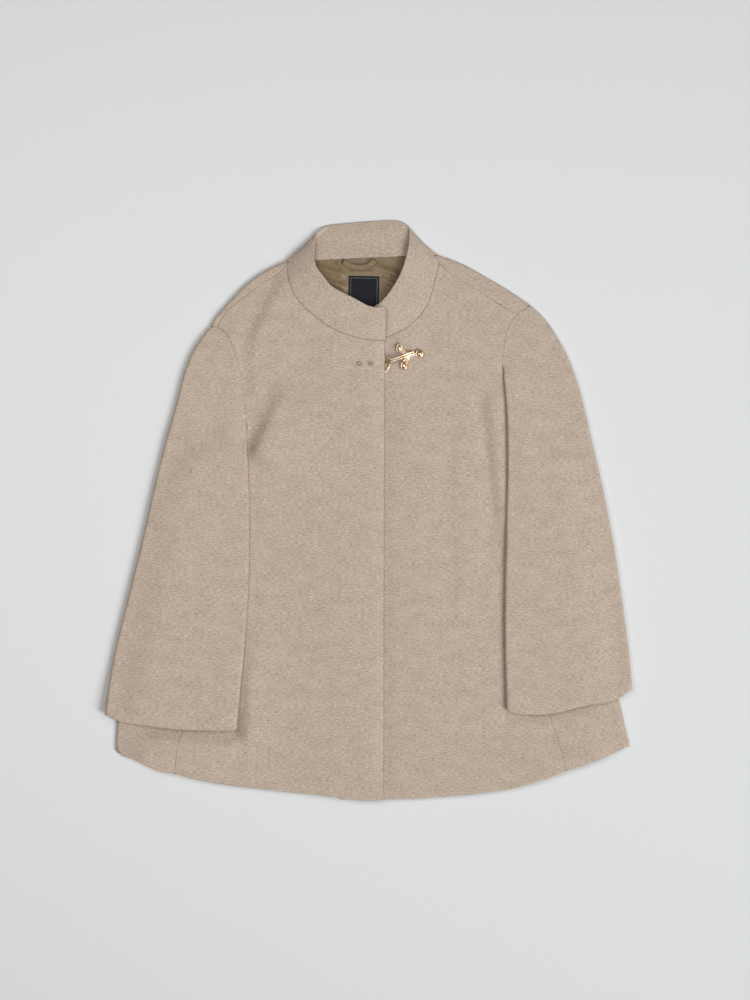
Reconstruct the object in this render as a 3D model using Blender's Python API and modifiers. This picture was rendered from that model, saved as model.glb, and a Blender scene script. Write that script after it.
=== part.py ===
"""Wool cape jacket with wide set-in sleeves, a stand collar and a hook clasp.

It is laid flat on its back with the fronts closed and the sleeves on the fronts. X is across the body,
Y runs from the hem to the collar and Z is up from the surface. Left and right are the wearer's, so the
right front and the right sleeve are at -X.

Every cloth piece is the outer face of the cloth, shaped from its cut, with a wall added inwards. A plan
line below is the place of a seam, a fold or an edge seen from above, in mm, as (out, up): out is the
distance from the mid line towards its own side, and up is towards the collar.
"""

import math

import bmesh
import bpy
import numpy as np

MM = 0.001

# Cloth, in mm
WALL = 2.4  # coating wool with its lining
SEAM_GAP = 0.3
TURN_GAP = 1.2  # where a seam goes round a fold
LIE_GAP = 0.6  # between a layer and the one it lies on
FOLD_HEIGHT = 5.8  # top of the front where the back wraps round to it
BELLY = 1.5  # how much higher the fronts lie away from the folds
NECK_RAISE = 3.0
NECK_MIDDLE = (-5.0, 290.0)
LAP_RISE = WALL + 0.5  # the right front climbs this much to lie on the left front
LAP_RUN = 42.0
LAP_START = 100.0  # distance from the front edge to the foot of that climb
FOLD_ARC = 9.0  # cloth taken up by a fold, as drawn in the cut
HEM_EASE = 1.5  # the back hem lies this much inside the front hem

# The middle of the laid garment's box, in the plan lines' own coordinates
CENTRE = (0.0, 1.6)

# x and y of the fronts' own edges at the centre: the right front lies over the left one
RIGHT_EDGE = [(20.5, 218.4), (19.6, -75.0), (18.6, -366.0)]
LEFT_EDGE = [(-35.0, 219.6), (-36.0, -75.0), (-36.8, -368.2)]

# One row a fold: ridges are above zero and troughs below
FRONT_FOLDS = [
    # start (x, y), end (x, y), half width, height at the start, height at the end
    ((-146.0, 92.0), (-118.0, 136.0), 9.0, -2.0, -0.6),
    ((-126.0, 84.0), (-98.0, 128.0), 12.0, 1.4, 0.3),
    ((-150.0, 140.0), (-128.0, 176.0), 13.0, 1.2, 0.3),
    ((-122.0, 262.0), (-150.0, 222.0), 12.0, -1.2, -0.8),
    ((117.0, 150.0), (114.0, -190.0), 8.0, -1.1, -0.6),
    ((138.0, 190.0), (136.0, -60.0), 10.0, 0.9, 0.4),
    ((-70.0, 60.0), (-92.0, -250.0), 22.0, 0.6, 0.6),
    ((66.0, 40.0), (82.0, -300.0), 22.0, 0.5, 0.6),
]

LEFT = {
    "sign": 1,
    "shoulder_fold": [(90.0, 328.3), (114.6, 319.4), (151.0, 300.2), (181.1, 282.2), (200.3, 269.4),
                      (208.0, 264.3)],
    "side_fold": [(208.0, 264.3), (216.0, 230.0), (234.0, 150.0), (254.0, 68.0), (294.0, -110.0),
                  (320.6, -238.7), (334.7, -300.2), (351.0, -376.0)],
    "shoulder_seam": [(91.0, 316.8), (113.3, 298.9), (131.2, 288.6), (163.2, 268.2), (189.7, 251.9)],
    "neck": [(90.9, 316.8), (87.7, 307.8), (82.6, 284.8), (74.9, 264.3), (59.5, 243.8), (41.6, 231.0),
             (23.7, 224.0), (5.0, 220.5), (-35.5, 219.5)],
    "armhole": [(189.7, 251.9), (181.1, 241.3), (176.8, 228.5), (174.3, 214.4), (171.6, 193.9),
                (173.6, 170.0), (178.0, 145.0), (184.0, 120.0), (194.0, 98.0), (210.0, 80.0),
                (236.0, 68.0)],
    "armhole_top": [(208.0, 264.3), (202.9, 261.1), (193.9, 256.6), (189.7, 251.9)],
    "armhole_back": [(208.0, 264.3), (200.0, 252.0), (191.0, 230.0), (186.0, 200.0), (184.0, 165.0),
                     (190.0, 132.0), (206.0, 104.0), (230.0, 86.0), (250.0, 77.0)],
    "underarm": (262.0, 67.0),
    "side_seam": [(236.0, 68.0), (227.0, -60.0), (225.0, -190.0), (232.3, -263.0), (240.6, -286.0),
                  (252.8, -328.3)],
    "hem": [(18.6, -368.6), (54.4, -367.7), (90.9, -365.4), (142.7, -361.0), (182.4, -354.8),
            (220.8, -344.6), (252.8, -332.5), (288.6, -320.4), (310.4, -311.0), (334.7, -300.2)],
    "sleeve_inner": [(170.4, 268.0), (171.6, 190.0), (172.8, 176.0), (174.9, 151.7), (177.1, 119.7),
                     (177.7, 81.0), (177.8, 48.0), (176.6, -4.5), (175.6, -48.0), (174.1, -142.7),
                     (176.6, -264.0)],
    "sleeve_outer": [(208.0, 264.3), (227.2, 245.1), (243.8, 219.5), (253.4, 201.6), (264.3, 174.7),
                     (270.7, 154.2), (278.4, 124.8), (282.9, 104.3), (298.9, 35.2), (315.5, -50.6),
                     (325.8, -121.0), (334.7, -190.1), (337.6, -224.6), (339.0, -262.0)],
    "sleeve_hem": [(178.0, -256.1), (195.2, -258.8), (228.5, -259.2), (273.3, -249.0), (323.2, -237.4),
                   (334.0, -229.0)],
    # up, height over the inner fold, height over the outer fold
    "sleeve_height": [(268.0, 6.2, 6.0), (240.0, 8.6, 7.6), (215.0, 12.6, 8.4), (193.0, 14.9, 8.8),
                      (90.0, 15.2, 9.0), (-60.0, 15.4, 9.2), (-262.0, 14.6, 9.0)],
    # up, out where the upper layer starts to come down to the surface, and how far that takes
    "sleeve_drop": [(250.0, 172.0, 36.0), (190.0, 174.0, 30.0), (145.0, 180.0, 32.0),
                    (98.0, 196.0, 40.0), (66.0, 226.0, 54.0), (20.0, 246.0, 52.0), (-60.0, 258.0, 52.0),
                    (-262.0, 292.0, 40.0)],
    "fold_start": 193.0,
}

RIGHT = {
    "sign": -1,
    "shoulder_fold": [(108.0, 319.8), (121.0, 314.0), (137.6, 305.3), (159.4, 288.6), (182.4, 264.3),
                      (196.5, 247.7), (202.6, 237.4)],
    "side_fold": [(202.6, 237.4), (208.0, 210.0), (222.0, 140.0), (242.0, 60.0), (282.0, -110.0),
                  (313.0, -235.0), (321.2, -269.4), (323.2, -306.6), (326.0, -376.0)],
    "shoulder_seam": [(103.0, 316.8), (114.6, 305.3), (133.8, 293.8), (154.2, 278.4), (170.9, 265.6),
                      (188.8, 246.4), (193.0, 236.2)],
    "neck": [(103.5, 316.8), (103.9, 309.1), (101.8, 293.8), (86.4, 265.6), (72.3, 252.8), (58.2, 241.3),
             (33.3, 228.5), (8.8, 220.8), (-20.5, 218.2)],
    "armhole": [(193.0, 236.2), (182.4, 228.5), (174.0, 211.0), (167.0, 187.0), (161.0, 157.0),
                (157.2, 125.0), (156.0, 99.2), (160.0, 88.0), (169.0, 76.0), (184.0, 66.0),
                (205.0, 59.0), (226.0, 56.0)],
    "armhole_top": [(202.6, 237.4), (198.0, 236.6), (193.0, 236.2)],
    "armhole_back": [(202.6, 237.4), (192.0, 220.0), (182.0, 190.0), (177.0, 155.0), (181.0, 121.0),
                     (195.0, 93.0), (216.0, 75.0), (237.0, 67.0)],
    "underarm": (251.0, 57.0),
    "side_seam": [(226.0, 56.0), (223.0, -100.0), (228.0, -220.0), (237.4, -277.1), (242.6, -296.3),
                  (249.0, -335.6)],
    "hem": [(-18.0, -369.2), (10.9, -369.6), (36.5, -366.1), (126.1, -356.5), (186.2, -349.4),
            (225.9, -341.8), (249.0, -335.6), (270.7, -331.6), (287.4, -323.6), (301.4, -317.0),
            (317.3, -312.4), (323.2, -306.6)],
    "sleeve_inner": [(156.4, 242.0), (155.9, 99.2), (155.1, 81.3), (154.2, 62.0), (152.3, -22.4),
                     (153.5, -91.5), (156.8, -147.8), (160.6, -196.5), (163.2, -220.8), (168.6, -284.0)],
    "sleeve_outer": [(202.6, 237.4), (212.8, 224.6), (222.7, 209.9), (235.3, 180.5), (247.0, 136.3),
                     (259.6, 92.3), (272.6, 40.3), (290.0, -36.5), (309.1, -113.3), (328.3, -195.0),
                     (337.6, -258.0), (340.0, -284.0)],
    "sleeve_hem": [(168.3, -279.7), (205.0, -279.6), (241.3, -278.4), (286.1, -273.3), (316.8, -268.2),
                   (334.6, -261.4)],
    "sleeve_height": [(242.0, 6.2, 6.0), (205.0, 8.0, 7.8), (150.0, 9.6, 8.6), (124.0, 12.4, 8.8),
                      (99.0, 15.2, 9.0), (0.0, 14.8, 9.2), (-284.0, 14.2, 9.0)],
    "sleeve_drop": [(240.0, 160.0, 36.0), (150.0, 164.0, 40.0), (100.0, 180.0, 44.0),
                    (56.0, 212.0, 56.0), (10.0, 230.0, 54.0), (-60.0, 248.0, 48.0),
                    (-284.0, 292.0, 42.0)],
    "fold_start": 99.2,
}

# Stations of the collar from its right end, over the clasp, round the back to its left end underneath.
# seam x, seam y, edge x, edge y, edge height
COLLAR_RIGHT = [
    (22.8, 219.0, 22.8, 255.0, 19.4),
    (20.0, 219.0, 20.6, 259.8, 19.6),
    (8.0, 219.4, 10.9, 260.5, 20.0),
    (-8.8, 221.3, -0.6, 263.0, 20.4),
    (-33.3, 228.9, -17.5, 272.0, 21.0),
    (-58.2, 241.8, -37.0, 281.5, 21.5),
    (-72.3, 253.3, -48.0, 288.5, 21.5),
    (-86.2, 266.1, -59.0, 302.2, 21.0),
    (-95.6, 281.5, -65.6, 311.0, 20.0),
    (-101.2, 295.0, -68.8, 319.0, 18.4),
    (-103.2, 308.0, -69.9, 327.0, 16.2),
    (-103.0, 316.6, -69.8, 333.0, 14.6),
]
COLLAR_RIGHT_TURN = [(-69.3, 338.0, 13.0), (-68.6, 346.0, 10.2), (-67.0, 353.0, 7.5), (-64.3, 360.0, 4.6),
                     (-60.5, 364.3, 2.2)]
COLLAR_BACK = [
    (-96.0, 320.8, -54.0, 366.5, 0.4),
    (-78.0, 321.4, -45.0, 367.8, 0.0),
    (-45.0, 322.8, -26.0, 369.7, 0.0),
    (0.0, 324.8, 2.0, 371.8, 0.0),
    (40.0, 326.5, 26.0, 373.2, 0.0),
    (66.0, 327.6, 39.0, 372.6, 0.2),
    (80.0, 328.2, 46.0, 370.4, 1.2),
]
COLLAR_LEFT_TURN = [(51.0, 366.5, 3.5), (52.3, 361.0, 6.0), (52.6, 354.5, 8.8), (52.2, 348.0, 11.4),
                    (51.3, 341.0, 13.6)]
COLLAR_LEFT = [
    (90.6, 316.6, 50.2, 335.5, 15.0),
    (87.2, 308.3, 48.5, 328.0, 16.6),
    (82.1, 285.3, 43.5, 311.0, 18.0),
    (74.4, 264.7, 37.0, 297.0, 18.8),
    (59.1, 244.3, 27.5, 281.5, 19.0),
    (41.4, 231.6, 19.5, 272.0, 18.2),
    (23.6, 224.6, 12.0, 265.0, 17.0),
    (5.0, 221.1, 3.0, 260.5, 16.4),
    (-14.0, 220.4, -8.0, 258.5, 16.0),
]
COLLAR_ACROSS = 4
NECK_LINE = (320.6, 329.1)  # the back neck seam at the right and at the left fold

LINING_THICKNESS = 1.0
LINING_BASE = WALL + SEAM_GAP
LINING = [(-70.0, 319.6), (-45.0, 321.4), (0.0, 323.4), (38.0, 325.0), (56.0, 322.6), (69.0, 308.0),
          (72.0, 288.0), (60.0, 256.0), (30.0, 239.0), (-18.0, 237.0), (-60.0, 257.0), (-82.0, 288.0),
          (-82.0, 309.0)]
LABEL_SIZE = (39.0, 45.0)
LABEL_CORNER = (-25.0, 302.1)
LABEL_TURN = math.radians(-1.5)
LOOP_PATH = [(-31.6, 317.6), (-26.0, 315.2), (-20.0, 312.6), (-11.0, 311.6), (-1.0, 312.4), (5.0, 315.6),
             (9.6, 319.2)]
LOOP_WIDTH = 7.0
LOOP_THICKNESS = 1.2

# Clasp, in mm
STUDS = {"clasp_stud_top": (39.4, 208.6, 7.4, 10.4), "clasp_stud_low": (45.3, 186.6, 8.8, 12.0),
         "clasp_stud_side": (65.2, 201.6, 10.6, 11.0)}
CLASP_MIDDLE = (51.0, 199.6)
PLATE_ARM = 2.9
PLATE_THICKNESS = 1.6
STUD_HEIGHT = 3.4
HOOK_WIDTH = 4.0
HOOK_THICKNESS = 1.6
HOOK_START = (53.5, 199.7)
HOOK_END = (24.6, 190.6)
RING_WIRE = 1.0
RING_BOX = (21.9, 28.4, 177.5, 200.5)
FIXINGS = {"fixing_outer": (-11.5, 188.8), "fixing_inner": (3.1, 188.8)}
FIXING_RADIUS = 4.0
FIXING_HEIGHT = 1.0

WOOL = (0.484, 0.393, 0.316)
SATIN = (0.262, 0.195, 0.129)
NAVY = (0.022, 0.024, 0.034)
GOLD = (0.83, 0.63, 0.33)


def ease(t):
    """0 before t = 0 and 1 after t = 1, smooth between."""
    t = min(1.0, max(0.0, t))
    return t * t * (3 - 2 * t)


def mix(a, b, t):
    return a + (b - a) * t


def smooth(points, step=9.0, pieces=None):
    """A smooth line through the points, with a point about every step, or so many pieces a span."""
    p = np.array(points, float)
    gaps = np.linalg.norm(np.diff(p, axis=0), axis=1)
    slopes = np.diff(p, axis=0) / gaps[:, None]
    inner = (slopes[:-1] * gaps[1:, None] + slopes[1:] * gaps[:-1, None]) / (gaps[:-1] + gaps[1:])[:, None]
    tangents = np.vstack([slopes[:1], inner, slopes[-1:]])
    line = []
    for i, gap in enumerate(gaps):
        count = pieces or max(1, round(gap / step))
        for t in np.arange(count) / count:
            s = 1 - t
            line.append(p[i] * s * s * (1 + 2 * t) + p[i + 1] * t * t * (1 + 2 * s)
                        + gap * t * s * (tangents[i] * s - tangents[i + 1] * t))
    line.append(p[-1])
    return np.array(line)


def beside(line, distance):
    """The line moved sideways, to the left of its direction where distance is above zero."""
    line = np.asarray(line)
    along = np.gradient(line, axis=0)
    along /= np.linalg.norm(along, axis=1)[:, None]
    return line + distance * np.column_stack([-along[:, 1], along[:, 0]])


def reader(line):
    """A function giving out at a height up, read from a plan line whose up only grows or only falls."""
    line = line[np.argsort(line[:, 1])]
    return lambda up: float(np.interp(up, line[:, 1], line[:, 0]))


for side in (LEFT, RIGHT):
    for name in ("shoulder_fold", "side_fold", "shoulder_seam", "neck", "armhole", "armhole_top",
                 "armhole_back", "side_seam", "hem", "sleeve_inner", "sleeve_outer", "sleeve_hem"):
        side[name] = smooth(side[name])
    side["fold_at"] = reader(np.vstack([side["shoulder_fold"], side["side_fold"][1:]]))
    side["inner_at"] = reader(side["sleeve_inner"])
    side["outer_at"] = reader(side["sleeve_outer"])
    side["seam_high"] = side["armhole"][side["armhole"][:, 1] > side["fold_start"] + 25.0]


def fold_relief(x, y, folds):
    """Height that the folds add at a place in plan."""
    total = 0.0
    for (x0, y0), (x1, y1), width, first, last in folds:
        run = math.hypot(x1 - x0, y1 - y0)
        along = ((x - x0) * (x1 - x0) + (y - y0) * (y1 - y0)) / run
        aside = abs((x - x0) * (y1 - y0) - (y - y0) * (x1 - x0)) / run
        if aside > 3 * width:
            continue
        fade = ease((along + width) / (2 * width)) * ease((run - along + 2 * width) / (3 * width))
        total += mix(first, last, ease(along / run)) * fade * math.exp(-((aside / width) ** 2))
    return total


def front_top(x, y):
    """Height of the top of the fronts, and of the back where it wraps round to them."""
    side = LEFT if x > 0 else RIGHT
    inside = side["fold_at"](y) - abs(x)
    clear = ease(inside / 70.0) * ease((y + 372.0) / 60.0)
    near_neck = math.hypot(x - NECK_MIDDLE[0], y - NECK_MIDDLE[1]) / 55.0
    raised = NECK_RAISE * math.exp(-0.5 * near_neck ** 2)
    return FOLD_HEIGHT + BELLY * clear + raised * ease(inside / 20.0) + fold_relief(x, y, FRONT_FOLDS) * clear


right_edge_at = reader(smooth(RIGHT_EDGE))


def over_top(x, y):
    """Height of the top of the right front, which climbs onto the left front at the centre."""
    return front_top(x, y) + LAP_RISE * ease((x - right_edge_at(y) + LAP_START) / LAP_RUN)


class Wrap:
    """A cloth wrapped round two folds that run up the garment.

    A place in the cut is (across, up). From 0 to width it lies on the face between the folds, a fold takes up
    FOLD_ARC on each side, and past that the cloth returns under or over the face.
    """

    def __init__(self, low_edge, high_edge, face, low_return, high_return, width):
        self.edges = (low_edge, high_edge)
        self.face = face
        self.returns = (low_return, high_return)
        self.width = width

    def reach(self, which, up):
        """How far in from its edge a fold reaches in plan: further where the fold runs aslant."""
        edge = self.edges[which]
        slant = (edge(up + 4.0) - edge(up - 4.0)) / 8.0
        inner = edge(up) + (1, -1)[which] * FOLD_HEIGHT / 2
        half = abs(self.face(inner, up) - self.returns[which](inner, up)) / 2
        return min(max(half, FOLD_HEIGHT / 2), 3.6) * math.sqrt(1 + min(slant * slant, 6.0))

    def flats(self, up):
        return self.edges[0](up) + self.reach(0, up), self.edges[1](up) - self.reach(1, up)

    def on_face(self, x, up):
        low, high = self.flats(up)
        return self.width * min(1.0, max(0.0, (x - low) / (high - low))), up

    def past_low(self, x, up):
        return -FOLD_ARC - max(0.0, x - self.flats(up)[0]), up

    def past_high(self, x, up):
        return self.width + FOLD_ARC + max(0.0, self.flats(up)[1] - x), up

    def place(self, across, up, _=0.0):
        """The point of the cloth's outer face at a place of the cut."""
        low, high = self.flats(up)
        if 0 <= across <= self.width:
            x = mix(low, high, across / self.width)
            return x, up, self.face(x, up)
        which = 0 if across < 0 else 1
        start = (low, high)[which]
        beyond = -across if which == 0 else across - self.width
        sign = (-1, 1)[which]
        if beyond >= FOLD_ARC:
            x = start - sign * (beyond - FOLD_ARC)
            return x, up, self.returns[which](x, up)
        turn = math.pi * beyond / FOLD_ARC
        near, far = self.face(start, up), self.returns[which](start, up)
        x = start + sign * self.reach(which, up) * math.sin(turn)
        return x, up, (near + far) / 2 + (near - far) / 2 * math.cos(turn)


BACK_WIDTH = 620.0
back_wrap = Wrap(lambda up: -RIGHT["fold_at"](up), LEFT["fold_at"], lambda x, y: 0.0,
                 front_top, front_top, BACK_WIDTH)


def cut_mesh(outline, columns, rows, snap=1.6):
    """A flat bmesh of the cut's outline, divided along the columns and the rows."""
    bm = bmesh.new()
    outline = [p for i, p in enumerate(outline) if math.dist(p, outline[i - 1]) > 0.05]
    bm.faces.new([bm.verts.new((x, y, 0)) for x, y in outline])
    for normal, places in (((1, 0, 0), columns), ((0, 1, 0), rows)):
        for place in places:
            bmesh.ops.bisect_plane(bm, geom=bm.verts[:] + bm.edges[:] + bm.faces[:], dist=snap,
                                   plane_co=(place * normal[0], place * normal[1], 0), plane_no=normal)
    bmesh.ops.triangulate(bm, faces=bm.faces[:])
    if sum(f.normal.z for f in bm.faces) < 0:
        bmesh.ops.reverse_faces(bm, faces=bm.faces[:])
    return bm


def material(name, colour, roughness, metallic=0.0):
    made = bpy.data.materials.new(name)
    made.use_nodes = True
    shader = made.node_tree.nodes["Principled BSDF"]
    shader.inputs["Base Color"].default_value = (*colour, 1.0)
    shader.inputs["Roughness"].default_value = roughness
    shader.inputs["Metallic"].default_value = metallic
    return made


def finish(name, mesh, look, smooth_faces=True):
    """An object in the garment's collection, from a mesh in metres."""
    mesh.name = name
    if smooth_faces:
        mesh.shade_smooth()
        mesh.set_sharp_from_angle(angle=math.radians(40))
    mesh.materials.clear()
    mesh.materials.append(look)
    made = bpy.data.objects.new(name, mesh)
    garment.objects.link(made)
    return made


def centred(x, y, z):
    """A place in the plan lines' coordinates as a point in metres in the laid garment's own."""
    return (x - CENTRE[0]) * MM, (y - CENTRE[1]) * MM, z * MM


def cloth(name, bm, look, place=lambda x, y, z: (x, y, z), mirrored=False):
    """A cloth piece: its outer face moved to its place, with the wall added under it."""
    for vert in bm.verts:
        vert.co = centred(*place(*vert.co))
    if mirrored:
        bmesh.ops.reverse_faces(bm, faces=bm.faces[:])
    mesh = bpy.data.meshes.new(name)
    bm.to_mesh(mesh)
    bm.free()
    made = finish(name, mesh, look)
    wall = made.modifiers.new("Wall", "SOLIDIFY")
    wall.thickness = WALL * MM
    wall.offset = -1.0
    wall.use_even_offset = True
    wall.use_quality_normals = True
    return made


def spread(first, last, step):
    count = max(1, round((last - first) / step))
    return [mix(first, last, i / count) for i in range(count + 1)]


def mirrored_line(line, side):
    """A side's plan line of (out, up) as (x, y)."""
    return [(side["sign"] * out, up) for out, up in line]


def make_back():
    """The back, flat on the surface, wrapped over the shoulders and round the sides to the forward seams."""
    wrap = back_wrap
    half = SEAM_GAP / 2
    under = [*mirrored_line(RIGHT["hem"][::-1], RIGHT)[1:], *mirrored_line(LEFT["hem"], LEFT)[1:-1]]
    right_limit, left_limit = RIGHT["hem"][-1][0] - 1.2, LEFT["hem"][-1][0] - 1.7
    outline = [wrap.on_face(x, y + HEM_EASE) for x, y in under if -right_limit < x < left_limit]
    for side, past in ((LEFT, wrap.past_high), (RIGHT, wrap.past_low)):
        sign, seam, seam_end = side["sign"], side["side_seam"], side["side_seam"][-1][0] + half
        hem = [(out, up) for out, up in side["hem"][::-1] if out > seam_end]
        turn_up = side["armhole_back"][-1][1] - 3.0  # where the armhole goes round the side under the arm
        under_arm = [(seam[0][0] + 9.0, turn_up - 1.5), (side["fold_at"](turn_up) - 4.0, turn_up)]
        part = [past(x, y) for x, y in mirrored_line(hem, side)]
        part += [past(x, y) for x, y in mirrored_line(beside(seam[::-1], -half), side)]
        part += [past(x, y) for x, y in mirrored_line(under_arm, side)]
        part.append(wrap.on_face(sign * under_arm[1][0], turn_up))
        armhole = beside(side["armhole_back"][::-1], half)[:-1]
        part += [wrap.on_face(x, y) for x, y in mirrored_line(armhole, side)]
        tip_up = side["armhole_back"][0][1] + half
        part += [wrap.on_face(sign * BACK_WIDTH, tip_up), past(sign * BACK_WIDTH, tip_up)]
        part += [past(x, y) for x, y in mirrored_line(beside(side["armhole_top"], -half)[1:-1], side)]
        out, up = side["armhole_top"][-1]
        part.append(past(sign * out, up + SEAM_GAP))
        part += [past(x, y) for x, y in mirrored_line(beside(side["shoulder_seam"][::-1], -half)[1:], side)]
        neck_up = side["shoulder_fold"][0][1]
        part += [past(sign * BACK_WIDTH, neck_up), wrap.on_face(sign * BACK_WIDTH, neck_up)]
        outline.extend(part if side is LEFT else part[::-1])
    round_fold = [FOLD_ARC * i / 5 for i in range(6)]
    beyond = round_fold + [FOLD_ARC + 22.0 * i for i in range(1, 5)]
    columns = [-step for step in beyond] + [BACK_WIDTH + step for step in beyond]
    columns += spread(0, BACK_WIDTH, 48.0)[1:-1]
    bm = cut_mesh(outline, columns, spread(-352.0, 318.0, 26.0))
    return cloth("back", bm, wool, wrap.place, mirrored=True)


def make_front(name, side, top, edge):
    """A front in one layer, from its centre edge to the side seam."""
    line = [tuple(p) for p in edge]
    line += [tuple(p) for p in side["hem"] if edge[-1][0] < p[0] < side["side_seam"][-1][0] - 1.0]
    line += [tuple(p) for p in side["side_seam"][::-1]]
    line += [tuple(p) for p in side["armhole"][::-1][1:]]
    line += [tuple(p) for p in side["shoulder_seam"][::-1][1:]]
    line += [tuple(p) for p in side["neck"][1:] if p[0] > edge[0][0] + 1.0]
    outline = inset(line, SEAM_GAP / 2)
    if side["sign"] < 0:
        outline = [(-x, y) for x, y in outline][::-1]
    bm = cut_mesh(outline, spread(-280.0, 280.0, 20.0), spread(-352.0, 308.0, 22.0))
    return cloth(name, bm, wool, lambda x, y, z: (x, y, top(x, y)))


def inset(points, distance):
    """A closed outline, anticlockwise, moved inwards."""
    p = np.array(points, float)
    p = p[np.linalg.norm(p - np.roll(p, 1, axis=0), axis=1) > 0.05]
    before = p - np.roll(p, 1, axis=0)
    after = np.roll(before, -1, axis=0)
    turned = [np.column_stack([-d[:, 1], d[:, 0]]) for d in (before, after)]
    normals = [d / np.linalg.norm(d, axis=1)[:, None] for d in turned]
    middle = normals[0] + normals[1]
    middle /= np.maximum((middle * normals[0]).sum(axis=1), 0.5)[:, None]
    return [tuple(q) for q in p + distance * middle]


def make_sleeve(name, side):
    """A sleeve cut in one piece, closed by its underarm seam, flat on the front and round the body's side."""
    sign, width = side["sign"], 150.0
    seam_out, under_up = side["underarm"]
    heights = np.array(side["sleeve_height"])[::-1]
    drops = np.array(side["sleeve_drop"])[::-1]
    outer_at, fold_at = side["outer_at"], side["fold_at"]

    def lying(out, up):
        """Under face of the lower layer: on the front, then down beyond the body's side."""
        fold = fold_at(up)
        down = ease((out - fold) / max(14.0, outer_at(up) - fold))
        return (front_top(sign * out, up) + LIE_GAP) * (1 - down)

    def lying_back(out, up):
        """The same beyond the armhole, where the sleeve lies on the surface beside the back."""
        return lying(out, up) * (1 - ease((up - under_up) / 42.0))

    def upper(out, up):
        inner_height, outer_height = (np.interp(up, heights[:, 0], heights[:, i]) for i in (1, 2))
        start, run = (np.interp(up, drops[:, 0], drops[:, i]) for i in (1, 2))
        height = mix(inner_height, outer_height, ease((out - start) / run))
        if up < side["fold_start"] - 40.0:
            return height
        seam = side["seam_high"]
        distance = np.min(np.hypot(seam[:, 0] - out, seam[:, 1] - up))
        return mix(front_top(sign * out, up), height, ease(distance / 25.0))

    wrap = Wrap(side["inner_at"], outer_at, upper, lying, lying_back, width)
    half = SEAM_GAP / 2
    hem = side["sleeve_hem"]

    def hem_at(out):
        return float(np.interp(out, hem[:, 0], hem[:, 1]))

    outline = [wrap.on_face(out, up) for out, up in hem]
    outline.append((width + FOLD_ARC, hem[-1][1] + 2.0))
    outline += [wrap.past_high(out, hem_at(out) + 1.0) for out in spread(seam_out + half, 322.0, 14.0)[::-1]]
    seam_low = hem_at(seam_out) + 1.0
    outline += [wrap.past_high(seam_out + half, up) for up in spread(seam_low, under_up - 3.0, 24.0)[1:]]
    back = [(out, up) for out, up in beside(side["armhole_back"], half)[::-1] if up > under_up + 24.0]
    outline.append(wrap.past_high(seam_out, under_up + 9.0))
    outline += [wrap.past_high(out, up) for out, up in back[:-1]]
    top_up = side["armhole_back"][0][1] - TURN_GAP
    outline.append((width + FOLD_ARC, top_up))
    outline.append((width, top_up))
    outline += [wrap.on_face(out, up) for out, up in beside(side["armhole_top"], half)[1:]]
    seen = side["armhole"][side["armhole"][:, 1] > side["fold_start"] + 1.0]
    outline += [wrap.on_face(out, up) for out, up in beside(seen, half)[1:]]
    start = side["fold_start"]
    outline.append((0.0, start))
    outline.append((-0.5 * FOLD_ARC, start - 7.0))
    outline.append((-FOLD_ARC, start - 14.0))
    outline += [wrap.past_low(out, up) for out, up in side["armhole"] if up < start - 14.0]
    outline.append(wrap.past_low(seam_out - half, under_up))
    outline += [wrap.past_low(seam_out - half, up) for up in spread(seam_low, under_up, 24.0)[::-1][1:]]
    hidden_hem = spread(hem[0][0] + 4.0, seam_out - half, 14.0)[::-1][1:]
    outline += [wrap.past_low(out, hem_at(out) + 1.0) for out in hidden_hem]
    columns = [-FOLD_ARC * i / 5 for i in range(6)] + [width + FOLD_ARC * i / 5 for i in range(6)]
    columns += spread(0, width, 21.0)[1:-1]
    columns += [-FOLD_ARC - step for step in (22.0, 44.0, 66.0, 84.0, 98.0)]
    columns += [width + FOLD_ARC + step for step in (7.0, 14.0, 21.0, 28.0, 38.0, 54.0, 74.0)]
    bm = cut_mesh(outline, columns, spread(-240.0, 242.0, 22.0))

    def place(across, up, _):
        out, y, z = wrap.place(across, up)
        return sign * out, y, z

    return cloth(name, bm, wool, place, mirrored=sign < 0)


def nearest(x, y, line):
    """The point of a line nearest to a place."""
    a, b = line[:-1], line[1:]
    d = b - a
    t = np.clip(((np.array((x, y)) - a) * d).sum(axis=1) / (d * d).sum(axis=1), 0, 1)
    points = a + t[:, None] * d
    return tuple(points[np.argmin(np.hypot(points[:, 0] - x, points[:, 1] - y))])


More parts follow.
